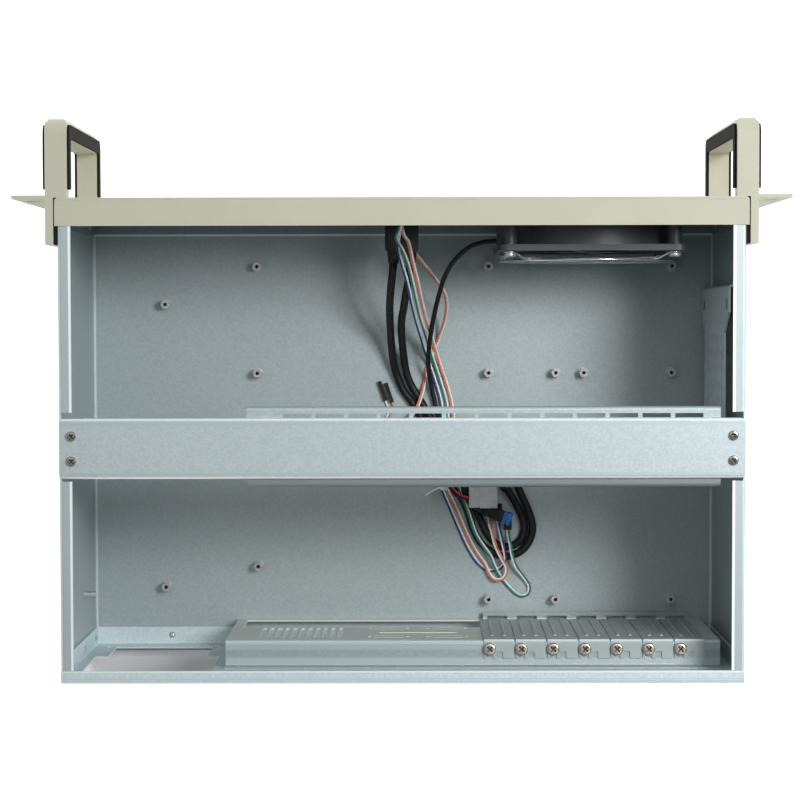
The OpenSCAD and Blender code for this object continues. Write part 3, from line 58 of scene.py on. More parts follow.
# Routes of the cords in millimetres, as in the part's source
ROUTES = {
    "usb_cable_1": (
        (6, -87.8, 75), (7, -77.81, 72), (8.2, -67.05, 60), (8.7, -57.26, 45), (8.2, -39.65, 22),
        (6, -19.1, 7.6), (0, -3.1, 4.2), (-7, 6.9, 3.9), (-20, 30.9, 3.9), (-30, 51.9, 3.9),
        (-36, 63.9, 3.9), (-43, 77.9, 3.9), (-48, 92.9, 3.9), (-54, 102.9, 3.9), (-62, 108.9, 3.9),
        (-71, 110.9, 3.9), (-80, 107.9, 3.9), (-86, 100.9, 3.9), (-88.4, 91.9, 3.9), (-86.7, 82.9, 3.9),
        (-82.6, 72.9, 3.9), (-78.2, 62.9, 3.9), (-73.5, 50.9, 4), (-66.5, 39.4, 4.8), (-56, 34.9, 6.6),
        (-46.5, 39.4, 8.8), (-42, 50.9, 10), (-41.4, 60.9, 10.8), (-43, 68.9, 11.5), (-47, 74.5, 11.9),
        (-52.2, 77.5, 12), (-56.95, 79.26, 12)),
    "usb_cable_2": (
        (-5, -87.8, 75), (-4, -77.81, 71), (-2, -67.05, 58.5), (-0.5, -58.24, 45.5), (1, -47.48, 30),
        (-0.2, -27.91, 10.5), (-3.8, -10.1, 4.6), (-13.4, 6.9, 3.9), (-26.6, 30.9, 3.9),
        (-36.4, 48.9, 3.9), (-42.2, 59.9, 3.9), (-49.2, 77.9, 3.9), (-53, 86.9, 3.9), (-58, 96.5, 3.9),
        (-65, 103.3, 3.9), (-73.6, 104.1, 3.9), (-80.4, 99.3, 3.9), (-82.6, 90.9, 3.9),
        (-80.4, 81.9, 4.1), (-76, 73.3, 4.9), (-72.5, 67.5, 5.6), (-69.75, 62.73, 5.7)),
    "fan_lead": (
        (-61.1, -101.6, 96), (-53, -101.1, 95.2), (-43, -97.6, 89), (-34, -89.6, 77), (-28, -79.77, 63),
        (-24, -67.05, 50), (-21, -54.33, 39), (-18.6, -40.63, 29), (-17.2, -26.93, 18.5),
        (-17.4, -17.1, 11.5), (-18.8, -7.1, 6.6), (-22, 6.9, 5), (-25, 20.9, 9), (-28.6, 34.9, 14.4),
        (-30.6, 46.9, 17), (-30.6, 55.9, 18.2), (-32.2, 62.9, 19.6), (-36.4, 67.8, 20.8),
        (-42, 69.3, 21.3), (-47.1, 69.3, 21.3)),
    "power_led_wires": (
        (0.5, -114.6, 146), (0.9, -110.6, 145.6), (1.7, -107.4, 143), (2.6, -105.4, 138),
        (3.6, -103.2, 126), (2.6, -100.6, 111), (-0.2, -95.8, 99), (-3.5, -87.6, 88.6),
        (-6.5, -75.86, 77.6), (-9, -64.11, 60.6), (-12, -51.39, 39), (-16, -38.67, 19),
        (-20.8, -23.01, 5.8), (-26, -7.1, 2.4), (-29.6, 6.9, 2.3), (-30.6, 20.9, 4.8), (-32, 36.9, 8.4),
        (-34.4, 50.9, 8.8), (-38.5, 64.9, 8), (-44, 78.9, 7.8), (-49, 93.9, 7.8), (-54.5, 103.4, 7.8),
        (-59.5, 110.4, 7.6), (-63, 118.9, 5.2), (-67, 125.9, 2.7), (-72, 131.9, 2.3), (-76.5, 136.3, 2.3),
        (-81, 138.5, 2.3), (-85.4, 136.5, 2.4), (-86, 131.3, 3.2), (-82.4, 125.4, 4.8), (-77, 117.9, 7.6),
        (-74, 108.9, 8.6), (-73, 102.4, 8.2), (-72, 98.1, 5.2), (-71.6, 94.9, 3.2), (-71.5, 92.9, 2.7),
        (-71.5, 91.4, 2.7)),
    "power_switch_wires": (
        (0.5, -112.1, 128), (0, -108.2, 127.5), (-1, -105, 124.8), (-2.2, -103.2, 120),
        (-3.8, -101.2, 111), (-5.2, -96, 100), (-7, -87.6, 89.6), (-9.9, -75.86, 77.6),
        (-12.4, -64.11, 60.6), (-15.5, -51.39, 39), (-19.6, -38.67, 19), (-24.4, -23.01, 5.8),
        (-29.6, -7.1, 2.4), (-33.2, 6.9, 2.3), (-34.4, 20.9, 4.8), (-32.4, 33.9, 10.8),
        (-30.6, 45.9, 10.8), (-29.75, 62.9, 5.7), (-35.4, 76.4, 2.5), (-41.4, 90.9, 2.1),
        (-46.4, 101.9, 2.1), (-51.4, 110.4, 2.1), (-55.8, 116.3, 3.4), (-58.4, 122.3, 5),
        (-62.6, 126.9, 5.6), (-68.4, 125.7, 6.4), (-70.6, 119.3, 7.8), (-67, 111.9, 9.6),
        (-63, 103.9, 8.8), (-61.4, 97.9, 8.2), (-60, 92.5, 7.2), (-59, 88.1, 5), (-58.6, 84.7, 3),
        (-58.5, 82.9, 2.7), (-58.5, 81.4, 2.7)),
    "reset_switch_wires": (
        (0.5, -113.6, 106), (1.5, -108.6, 105.5), (2.6, -102.6, 100.6), (2.4, -95.6, 94.6),
        (0.4, -87.6, 87), (-3, -75.86, 76.6), (-5.6, -64.11, 59.6), (-8.6, -51.39, 38),
        (-12.4, -38.67, 18.4), (-17.2, -23.01, 5.8), (-22.4, -7.1, 2.6), (-26, 6.9, 2.5),
        (-27, 20.9, 5.8), (-26.8, 34.9, 9.2), (-26.4, 48.9, 8.4), (-26.25, 62.9, 5.7), (-31.4, 76.4, 2.5),
        (-37.9, 91.9, 2.1), (-43.6, 104.3, 2.1), (-50, 114.5, 2.1), (-57, 120.5, 2.1),
        (-63.6, 120.3, 2.3), (-68.4, 116.9, 4.2), (-69.6, 111.4, 7.6), (-68, 102.9, 8.4),
        (-66.6, 96.3, 5), (-65.4, 91.5, 3), (-65, 88.5, 2.7), (-65, 85.4, 2.7)),
    "drive_led_wires": (
        (0.5, -114.6, 48), (0, -109.6, 48.4), (-3, -102.6, 50), (-8.5, -94.6, 51.5), (-15, -86.62, 50),
        (-22, -77.81, 44), (-27.5, -69.99, 35), (-29.5, -62.16, 26), (-28.5, -51.39, 14),
        (-24.5, -38.67, 4.2), (-20, -27.91, 2.2), (-15.8, -16.1, 2.2), (-14.4, -7.1, 3.4),
        (-12.6, -0.1, 7.2), (-9.8, 7.9, 8), (-5, 15.4, 7.8), (1, 22.9, 5), (6.8, 25.9, 2.7),
        (11.2, 22.6, 2.5), (11, 16.8, 2.6), (8.8, 11.9, 2.8)),
}
# Colour of the first wire of each pair; the second one is white
PAIRS = {"power_led_wires": "wire_green", "power_switch_wires": "wire_orange",
         "reset_switch_wires": "wire_blue", "drive_led_wires": "wire_orange"}
# Where the two wires of the drive lamp part towards their single-pin housings
PIN_ENDS = (
    ((7, 9.3, 2.8), (7.3, 6.7, 2.8), (8.06, 4.07, 2.8)),
    ((10.2, 8.9, 2.8), (11.4, 6.3, 2.8), (12.46, 2.97, 2.8)),
)
# From the middle of a pair to the middle of each wire
PAIR_GAP = 0.64
# Plugs: stations along each plug are (distance from the cord's end, width, height)
PORT_PLUG_TURNS = (160, -60)
PORT_BOOT = (
    (-2.5, 6.4, 6.2), (-2.2, 7.2, 6.9), (0.6, 7.5, 7.1), (0.7, 6.8, 6.5), (1.6, 6.8, 6.5), (1.7, 7.6, 7.2),
    (2.8, 7.7, 7.3), (2.9, 7, 6.7), (3.8, 7, 6.7), (3.9, 7.8, 7.4), (5.4, 8.2, 7.8), (10.9, 8.4, 8),
    (11.3, 8.2, 7.8), (11.5, 7.6, 7.2))
PORT_TIP = (
    (11.4, 7.4, 7), (11.6, 8.2, 7.6), (13.6, 8.2, 7.6), (13.7, 7.5, 7), (14.4, 7.5, 7), (14.5, 8.8, 8.2),
    (17.1, 8.8, 8.2), (17.5, 8.4, 7.8), (17.5, 7, 6), (16.4, 7, 6))
FAN_PLUG_TURN = 180
FAN_HOUSING = (
    (-2.5, 13, 8.4), (-2.2, 13.8, 9.2), (3.6, 13.8, 9.2), (3.7, 13.2, 8.6), (4.6, 13.2, 8.6),
    (4.7, 14.5, 9.6), (16, 14.5, 9.6), (16.5, 14.1, 9.2), (16.5, 12.4, 7.4), (13, 12.4, 7.4))
FAN_RIB = ((5.2, 1.3, 0.8), (5.5, 1.6, 1.0), (14.6, 1.6, 1.0), (14.9, 1.3, 0.8))
FAN_RIB_PLACES = ((0, -3.4, 4.6), (0, 3.4, 4.6))
FAN_LATCH = ((-1.6, 3.4, 1.0), (-1.2, 4, 1.4), (4.4, 4, 1.4), (6, 4, 0.6))
FAN_LATCH_PLACE = (0, -5.0, -4.3)
# Cable tie: the middle and the radius of its loop, the height of its lock above the loop, and its strip
TIE_PLACE = (-28, 62.9, 5.7)
TIE_R = 3.65
TIE_LOCK = ((-2.5, 4.2, 3.4), (-2.1, 4.6, 3.8), (2.1, 4.6, 3.8), (2.5, 4.2, 3.4))
TIE_LOCK_RISE = 2.1
TIE_BAND = (0.8, 3.2)
TIE_BAND_SET = 0.42
TIE_TAIL = (1.0, 2.4)
TIE_TAIL_STEPS = 61
# The red wire that lies on the last bend of the fan lead
RED_WIRE = (
    (-29.6, 41, 15.8), (-30.4, 46.9, 18.2), (-30.8, 53, 19.6), (-31.4, 58, 20.4), (-33.2, 62.4, 21.8),
    (-37.5, 66.6, 23), (-42.5, 69, 23.2), (-47.1, 69.6, 22.6))
# Screws with a cross recess: places of the tops of their heads and the radius of a head
SLOT_SCREWS = [(-55.6 - 20.32 * k, 159.25, 133.7) for k in range(7)]
BAR_SCREWS = [(x, y, 179) for x in (-205.4, 205.4) for y in (20.9, 36.4)]
SLOT_HEAD = 4.1
BAR_HEAD = 3.1
# Gain of a stripe of painted warm light on the I/O face of the slot box, cream like the paint
PAINTED_WARM_LIGHT = (2.05, 1.92, 1.72)
# Sheets: a painted tone that makes the steel of each part a lighter or darker copy for the light and shade
# it gets, and painted stripes along bends and edges, highlight where the gain is above 1 and shade where it
# is below, as (axis, place, half width, lowest, highest, gain)
SHEET_PAINTED_LIGHT_AND_SHADE = {
    "base_tray": (0.80, (("X", 209, 4.4, 176, 180, 1.12), ("X", 205.8, 0.7, 174, 180, 2.4),
                         ("X", 212.0, 0.5, 172, 180, 1.7), ("X", 210.4, 0.6, 0, 3, 1.6))),
    "front_bulkhead": (0.60, (("Y", -108.6, 0.8, 0, 4, 2.9),)),
    "slot_box": (0.68, (("Y", 154.2, 0.9, 0, 127, PAINTED_WARM_LIGHT), ("Y", 154.4, 0.9, 127, 140, 2.5),
                        ("Y", 157.4, 2.4, 128, 140, 1.22), ("Y", 167.5, 2.5, 128, 140, 1.3))),
    "rear_panel": (1.33, (("Y", 168.0, 0.6, 170, 180, 1.2), ("Y", 172.5, 0.4, 170, 180, 0.88),
                          ("Y", 174.8, 0.8, 170, 180, 1.2))),
    "cross_bar": (1.0, (("Y", 10.4, 0.7, 170, 180, 1.75), ("Y", 46.8, 0.7, 170, 180, 2.2),
                        ("Y", 13.2, 1.2, 175, 180, 0.95), ("Y", 44.4, 0.7, 175, 180, 0.92))),
    "hold_down_strip": (0.88, (("Y", 3.5, 0.7, 0, 180, 1.1), ("Y", 51.2, 2.6, 0, 180, 0.52))),
    "drive_bracket": (1.3, ()),
}
# Painted stripes on the slot covers: a band of painted shade over the tabs and a painted highlight along the
# front bend
SLOT_PAINTED_STRIPES = (("Y", 163, 8.4, 130, 135, 0.82), ("Y", 154, 0.6, 128, 135, 1.35))
# Lights: place and width of each
KEY_PLACE = (-0.78, -0.36, 1.5)
KEY_SIZE = 0.5
FILL_PLACE = (0.5, -1.0, 2.1)
FILL_SIZE = 2.0
LIGHT_AIM = (0, 0, 0.05)
# The floor glows beside, before and behind the chassis, from the first distance on and fully at the second;
# the dimmer margin nearer the chassis is a painted contact shadow
GLOW_BESIDE = (0.213, 0.232)
GLOW_BEFORE = (-0.124, -0.134)
GLOW_BEHIND = (0.191, 0.199)
GLOW = 0.95
# A weak painted patch of light on the floor under the rear recess, which shows through the slots of the rear
# wall
PAINTED_LIGHT_PATCH_RISE = (0.152, 0.157)
PAINTED_LIGHT_PATCH_FALL = (0.184, 0.164)
PAINTED_LIGHT_PATCH = 0.3
# Sky: pale up to the first height, and at its own strength from the second on
HORIZON = (0.15, 0.40)
HORIZON_STRENGTH = 0.95
SKY_COLOUR = (0.97, 0.985, 1.0, 1)
# Sockets of a colour mix node
MIX_FACTOR = 0
MIX_A = 6
MIX_B = 7
MIX_RESULT = 2
# Parts whose finish isn't that of their slot
OWN_FINISH = {
    "fan_frame": "fan_plastic_painted_sheen", "fan_rotor": "fan_plastic_painted_sheen", "cross_bar_screws": "chrome_screw",
    "grip_left_inner": "grip_rubber", "grip_left_outer": "grip_rubber", "grip_right_inner": "grip_rubber",
    "grip_right_outer": "grip_rubber", "spacer_left": "grip_rubber", "spacer_right": "grip_rubber",
}


class ChassisStage(bpy.types.PropertyGroup):
    """Camera and light of the studio shot."""

    lens: bpy.props.FloatProperty(
        name="Lens", description="Focal length on a 36 mm sensor", default=122.416, unit="CAMERA")
    place: bpy.props.FloatVectorProperty(
        name="Camera place", description="Where the camera stands", size=3,
        default=(-0.007662, -0.05177, 1.862299), subtype="XYZ_LENGTH", unit="LENGTH")
    turn: bpy.props.FloatVectorProperty(
        name="Camera turn", description="Turn of the camera, almost straight down", size=3, subtype="EULER",
        default=(math.radians(-3.1454), math.radians(0.2902), math.radians(179.8908)), unit="ROTATION")
    shift: bpy.props.FloatVectorProperty(
        name="Shift", description="Sideways and upward shift of the frame", size=2,
        default=(-0.00063, 0.08498))
    sky: bpy.props.FloatProperty(
        name="Sky", description="Strength of the soft light from all round", default=0.20)
    key: bpy.props.FloatProperty(
        name="Key light", description="Power of the light above the right front", default=19.5, unit="POWER")
    fill: bpy.props.FloatProperty(
        name="Fill light", description="Power of the broad light overhead", default=10.5, unit="POWER")
    floor_size: bpy.props.FloatProperty(
        name="Floor", description="Width of the floor under the chassis", default=6.0, unit="LENGTH")


class ChassisCords(bpy.types.PropertyGroup):
    """Thickness of the cords and how finely they are drawn."""

    port_cable: bpy.props.FloatProperty(
        name="Port cable", description="Radius of the round port cables", default=2.6 * MM, unit="LENGTH")
    fan_lead: bpy.props.FloatProperty(
        name="Fan lead", description="Radius of the sleeved fan lead", default=1.6 * MM, unit="LENGTH")
    wire: bpy.props.FloatProperty(
        name="Wire", description="Radius of one thin wire", default=0.6 * MM, unit="LENGTH")
    steps: bpy.props.IntProperty(
        name="Steps", description="Rings between two points of a route", default=8)


class ChassisFinish(bpy.types.PropertyGroup):
    """Colours and grain of the finishes."""

    steel: bpy.props.FloatVectorProperty(
        name="Steel", description="Colour of the galvanised sheet", size=3, subtype="COLOR",
        default=(0.475, 0.55, 0.565))
    paint: bpy.props.FloatVectorProperty(
        name="Paint", description="Colour of the front panel and handles", size=3, subtype="COLOR",
        default=(0.50, 0.49, 0.385))
    spangle: bpy.props.FloatProperty(
        name="Spangle", description="Crystals of the zinc coat along one metre", default=420.0)


# Shapes as grids of points


def unit(vectors):
    """Each vector divided by its own length."""
    return vectors / np.linalg.norm(vectors, axis=-1, keepdims=True)


def headings(path):
    """Direction of a path at each of its points, from the point before to the point after."""
    ahead = np.vstack([path[1:], path[-1:]])
    behind = np.vstack([path[:1], path[:-1]])
    return unit(ahead - behind)


def smooth_route(route, steps):
    """Catmull-Rom curve through the points: between b and c it runs as the cubic whose slopes there are
    half of c - a and half of d - b."""
    points = np.array(route, float)
    padded = np.vstack([points[:1], points, points[-1:]])
    a, b, c, d = (padded[k:k + len(points) - 1, None] for k in range(4))
    t = (np.arange(steps) / steps)[None, :, None]
    curve = 0.5 * (2 * b + (c - a) * t + (2 * a - 5 * b + 4 * c - d) * t ** 2
                   + (3 * b - a - 3 * c + d) * t ** 3)
    return np.vstack([curve.reshape(-1, 3), points[-1:]])


def side_ways(path):
    """Side direction at each point: level, but leaning over where the path is steep."""
    along = headings(path)
    steep = np.clip((np.abs(along[:, 2]) - 0.4) / 0.6, 0, None)
    lean = -np.sign(along[:, 1] * along[:, 2]) * steep
    up = np.stack([0 * steep, lean, 1 - steep], 1)
    return unit(np.cross(along, up))


def carried_frames(path):
    """Two directions across the path at each point, carried along it without twist."""
    along = headings(path)
    across = np.empty_like(path)
    side = side_ways(path[:2])[0]
    for k, way in enumerate(along):
        side = side - side.dot(way) * way
        side = side / np.linalg.norm(side)
        across[k] = side
    return across, np.cross(across, along)


def tube_rings(path, radius, sides=14):
    """Rings of a round tube: path + radius * (cos a * across + sin a * over) for angles a round it."""
    across, over = carried_frames(path)
    angle = np.linspace(0, 2 * math.pi, sides, endpoint=False)
    round_ = np.cos(angle)[None, :, None] * across[:, None] + np.sin(angle)[None, :, None] * over[:, None]
    return path[:, None] + np.asarray(radius).reshape(-1, 1, 1) * round_


def rounded_loop(wide, high, radius, steps=4):
    """Closed outline of a rectangle with round corners, as (n, 2) points about its middle."""
    angle = np.linspace(0, math.pi / 2, steps)
    corner = np.stack([np.cos(angle), np.sin(angle)], 1) * radius
    centre = np.array([wide / 2 - radius, high / 2 - radius])
    turned = (corner, corner[::-1] * (-1, 1), -corner, corner[::-1] * (1, -1))
    signs = ((1, 1), (-1, 1), (-1, -1), (1, -1))
    return np.vstack([centre * sign + part for sign, part in zip(signs, turned)])


def box_rings(stations, radius):
    """Rings of a moulded block along X: each station is (x, width, height), with round corners."""
    rings = []
    for x, wide, high in stations:
        loop = rounded_loop(wide, high, min(radius, wide / 2.1, high / 2.1))
        rings.append(np.column_stack([np.full(len(loop), x), loop]))
    return np.array(rings)


def turned(points, degrees, place):
    """Points turned about Z and then moved to a place."""
    angle = math.radians(degrees)
    c = math.cos(angle)
    s = math.sin(angle)
    spin = np.array([[c, -s, 0], [s, c, 0], [0, 0, 1]])
    return points @ spin.T + np.asarray(place)


def cross_cup(radius):
    """Rings of a cross recess, from its rim down: two crossed arms that taper towards the floor."""
    rings = []
    for reach, half, depth in ((0.56, 0.13, 0.3), (0.5, 0.12, 0.7), (0.3, 0.1, 1.05)):
        far = reach * radius
        near = half * radius
        arm = np.array([(near, -far), (near, -near), (far, -near)])
        loop = np.vstack([arm, arm[::-1] * (1, -1), -arm, arm[::-1] * (-1, 1)])[::-1]
        rings.append(np.column_stack([loop, np.full(len(loop), -depth)]))
    return np.array(rings)


def ring_faces(count, sides, start, closed, hollow):
    """Quads between neighbouring rings and, if the rings are an open row, a cap at either end. A hollow
    row has no first cap."""
    row = np.arange(count if closed else count - 1)[:, None] * sides
    a = np.arange(sides)[None]
    b = (a + 1) % sides
    low = start + row
    high = start + (row + sides) % (count * sides)
    quads = np.stack([low + a, low + b, high + b, high + a], -1).reshape(-1, 4).tolist()
    if closed:
        return quads
    first = (start + np.arange(sides))[::-1].tolist()
    last = (start + (count - 1) * sides + np.arange(sides)).tolist()
    return quads + ([last] if hollow else [first, last])


def skin(name, blocks, material, sharp=35, closed=False, hollow=False):
    """One piece from several blocks of rings in millimetres, skinned ring to ring and capped."""
    points = []
    faces = []
    for rings in blocks:
        count, sides = rings.shape[:2]
        faces += ring_faces(count, sides, sum(len(p) for p in points), closed, hollow)
        points.append(rings.reshape(-1, 3) * MM)
    mesh = bpy.data.meshes.new(name)
    mesh.from_pydata(np.vstack(points), [], faces)
    mesh.polygons.foreach_set("use_smooth", np.ones(len(mesh.polygons), bool))
    mesh.set_sharp_from_angle(angle=math.radians(sharp))
    mesh.materials.append(material)
    piece = bpy.data.objects.new(name, mesh)
    bpy.context.scene.collection.objects.link(piece)
    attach(piece, BODY)
    return piece


# Finishes


class Shade:
    """Node tree of one material with the few kinds of node that the finishes use."""

    def __init__(self, name, colour, metallic=0.0, roughness=0.5):
        self.material = bpy.data.materials.new(name)
        self.material.use_nodes = True
        self.tree = self.material.node_tree
        self.shader = self.tree.nodes["Principled BSDF"]
        self.place = self.tree.nodes.new("ShaderNodeTexCoord").outputs["Object"]
        self.split = None
        self.colour = tuple(colour)
        self.set("Base Color", (*colour, 1))
        self.set("Metallic", metallic)
        self.set("Roughness", roughness)

    def set(self, socket, value):
        self.shader.inputs[socket].default_value = value

    def link(self, output, socket):
        self.tree.links.new(output, self.shader.inputs[socket])

    def stretched(self, x, y, z):
        """Object coordinates scaled along each axis."""
        node = self.tree.nodes.new("ShaderNodeMapping")
        node.inputs["Scale"].default_value = (x, y, z)
        self.tree.links.new(self.place, node.inputs["Vector"])
        return node.outputs["Vector"]

    def noise(self, scale, detail=3.0, place=None):
        """Cloudy values from 0 to 1, with the given number of clouds along one metre."""
        node = self.tree.nodes.new("ShaderNodeTexNoise")
        node.inputs["Scale"].default_value = scale
        node.inputs["Detail"].default_value = detail
        self.tree.links.new(place or self.place, node.inputs["Vector"])
        return node.outputs["Fac"]

    def cells(self, scale):
        """One random value for each crystal of a cellular pattern."""
        node = self.tree.nodes.new("ShaderNodeTexVoronoi")
        node.inputs["Scale"].default_value = scale
        node.inputs["Randomness"].default_value = 1.0
        self.tree.links.new(self.place, node.inputs["Vector"])
        split = self.tree.nodes.new("ShaderNodeSeparateColor")
        self.tree.links.new(node.outputs["Color"], split.inputs["Color"])
        return split.outputs["Red"]

    def spread(self, value, low, high):
        """Values from 0.3 to 0.7 taken to the range from low to high."""
        node = self.tree.nodes.new("ShaderNodeMapRange")
        node.inputs["From Min"].default_value = 0.3
        node.inputs["From Max"].default_value = 0.7
        node.inputs["To Min"].default_value = low
        node.inputs["To Max"].default_value = high
        self.tree.links.new(value, node.inputs["Value"])
        return node.outputs["Result"]

    def blend(self, value, dark, light):
        """Base colour that runs from dark to light times the finish's own colour."""
        node = self.tree.nodes.new("ShaderNodeValToRGB")
        node.color_ramp.elements[0].position = 0.25
        node.color_ramp.elements[0].color = (*(c * dark for c in self.colour), 1)
        node.color_ramp.elements[1].position = 0.75
        node.color_ramp.elements[1].color = (*(min(1, c * light) for c in self.colour), 1)
        self.tree.links.new(value, node.inputs["Fac"])
        self.link(node.outputs["Color"], "Base Color")

    def along(self, axis):
        """One of the three object coordinates."""
        if self.split is None:
            self.split = self.tree.nodes.new("ShaderNodeSeparateXYZ")
            self.tree.links.new(self.place, self.split.inputs["Vector"])
        return self.split.outputs[axis]

    def sums(self, operation, first, second=0.0):
        """One step of arithmetic on outputs and numbers."""
        node = self.tree.nodes.new("ShaderNodeMath")
        node.operation = operation
        for socket, value in zip(node.inputs, (first, second)):
            if isinstance(value, bpy.types.NodeSocket):
                self.tree.links.new(value, socket)
            else:
                socket.default_value = value
        return node.outputs["Value"]

    def ramp(self, value, low, high):
        """0 at low and 1 at high, in a straight line between them."""
        node = self.tree.nodes.new("ShaderNodeMapRange")
        node.inputs["From Min"].default_value = low
        node.inputs["From Max"].default_value = high
        self.tree.links.new(value, node.inputs["Value"])
        return node.outputs["Result"]

    def painted_stripe(self, axis, place, half, lowest, highest, gain):
        """Base colour times a gain, in a stripe across an axis and between two heights in millimetres:
        painted light where the gain is above 1 and painted shade where it is below. X counts without its
        sign, so that both sides get the stripe."""
        value = self.along(axis)
        if axis == "X":
            value = self.sums("ABSOLUTE", value)
        off = self.sums("ABSOLUTE", self.sums("SUBTRACT", value, place * MM))
        inside = self.ramp(off, 1.3 * half * MM, 0.7 * half * MM)
        above = self.ramp(self.along("Z"), (lowest - 1) * MM, lowest * MM)
        below = self.ramp(self.along("Z"), (highest + 1) * MM, highest * MM)
        mask = self.sums("MULTIPLY", inside, self.sums("MULTIPLY", above, below))
        node = self.tree.nodes.new("ShaderNodeMix")
        node.data_type = "RGBA"
        colour = self.shader.inputs["Base Color"].links[0].from_socket
        self.tree.links.new(mask, node.inputs[MIX_FACTOR])
        self.tree.links.new(colour, node.inputs[MIX_A])
        node.inputs[MIX_B].default_value = (*np.clip(np.multiply(self.colour, gain), 0, 1), 1)
        self.link(node.outputs[MIX_RESULT], "Base Color")

    def mixed(self, first, second, share):
        """The two values mixed, with the given share of the second."""
        node = self.tree.nodes.new("ShaderNodeMix")
        node.inputs["Factor"].default_value = share
        self.tree.links.new(first, node.inputs["A"])
        self.tree.links.new(second, node.inputs["B"])
        return node.outputs["Result"]

    def bump(self, height, strength, depth):
        """Relief of the given depth in metres."""
        node = self.tree.nodes.new("ShaderNodeBump")
        node.inputs["Strength"].default_value = strength
        node.inputs["Distance"].default_value = depth
        self.tree.links.new(height, node.inputs["Height"])
        self.link(node.outputs["Normal"], "Normal")


def galvanised(name, colour, spangle, painted_stripes=()):
    """Zinc-coated sheet: crystals of slightly different greys, fine mottling, a satin, uneven gloss and
    stripes of painted light and painted shade along bends and edges."""
    shade = Shade(name, colour, metallic=0.45, roughness=0.48)
    crystals = shade.mixed(shade.cells(spangle * 2), shade.noise(spangle * 2.2, 4.0), 0.5)
    shade.blend(crystals, 0.92, 1.06)
    for painted_stripe in painted_stripes:
        shade.painted_stripe(*painted_stripe)
    shade.link(shade.spread(shade.noise(spangle * 2.2), 0.44, 0.54), "Roughness")
    shade.bump(shade.noise(spangle * 9, 2.0), 0.06, 0.0002)
    return shade.material


def plated(name, colour, roughness=0.28, metallic=0.9, grain=900.0):
    """Bright plating on small hardware: cloudy gloss and fine drawing marks."""
    shade = Shade(name, colour, metallic=metallic, roughness=roughness)
    marks = shade.noise(grain, 3.0, shade.stretched(1, 1, 0.15))
    shade.blend(shade.mixed(marks, shade.noise(grain / 4), 0.5), 0.86, 1.1)
    shade.link(shade.spread(marks, roughness * 0.8, roughness * 1.35), "Roughness")
    shade.bump(marks, 0.08, 0.0001)
    return shade.material


def powder_coat(name, colour):
    """Textured paint: orange-peel relief, faint clouds in the colour and a dull sheen."""
    shade = Shade(name, colour, roughness=0.52)
    peel = shade.noise(1500.0, 2.0)
    shade.blend(shade.mixed(shade.noise(40.0), peel, 0.35), 0.955, 1.035)
    shade.link(shade.spread(peel, 0.46, 0.6), "Roughness")
    shade.bump(peel, 0.22, 0.0003)
    return shade.material


def moulded(name, colour, roughness=0.5, gloss=0.5, grain=2200.0):
    """Moulded plastic: a spark-eroded grain and slight clouds in the colour."""
    shade = Shade(name, colour, roughness=roughness)
    shade.set("Specular IOR Level", gloss)
    fine = shade.noise(grain, 2.0)
    shade.blend(shade.mixed(shade.noise(120.0), fine, 0.4), 0.82, 1.2)
    shade.link(shade.spread(fine, roughness * 0.85, roughness * 1.15), "Roughness")
    shade.bump(fine, 0.15, 0.00015)
    return shade.material


def rubber(name, colour):
    """Soft rubber: flat black with a fine dusty grain."""
    shade = Shade(name, colour, roughness=0.85)
    shade.set("Specular IOR Level", 0.1)
    dust = shade.noise(1600.0, 3.0)
    shade.blend(dust, 0.8, 1.25)
    shade.bump(dust, 0.1, 0.0002)
    return shade.material


def jacket(name, colour, roughness=0.36, gloss=0.5):
    """Soft wire insulation: smooth, a little uneven along its length, with dull scuffs."""
    shade = Shade(name, colour, roughness=roughness)
    shade.set("Specular IOR Level", gloss)
    scuffs = shade.noise(420.0, 4.0)
    shade.blend(scuffs, 0.86, 1.14)
    shade.link(shade.spread(scuffs, roughness * 0.8, roughness * 1.4), "Roughness")
    shade.bump(shade.noise(700.0, 1.0), 0.06, 0.0002)
    return shade.material


def lens(name, colour):
    """Tinted lamp lens: clear, glossy and slightly cloudy inside."""
    shade = Shade(name, colour, roughness=0.18)
    shade.set("Transmission Weight", 0.35)
    shade.set("Coat Weight", 0.4)
    shade.blend(shade.noise(900.0), 0.85, 1.15)
    return shade.material


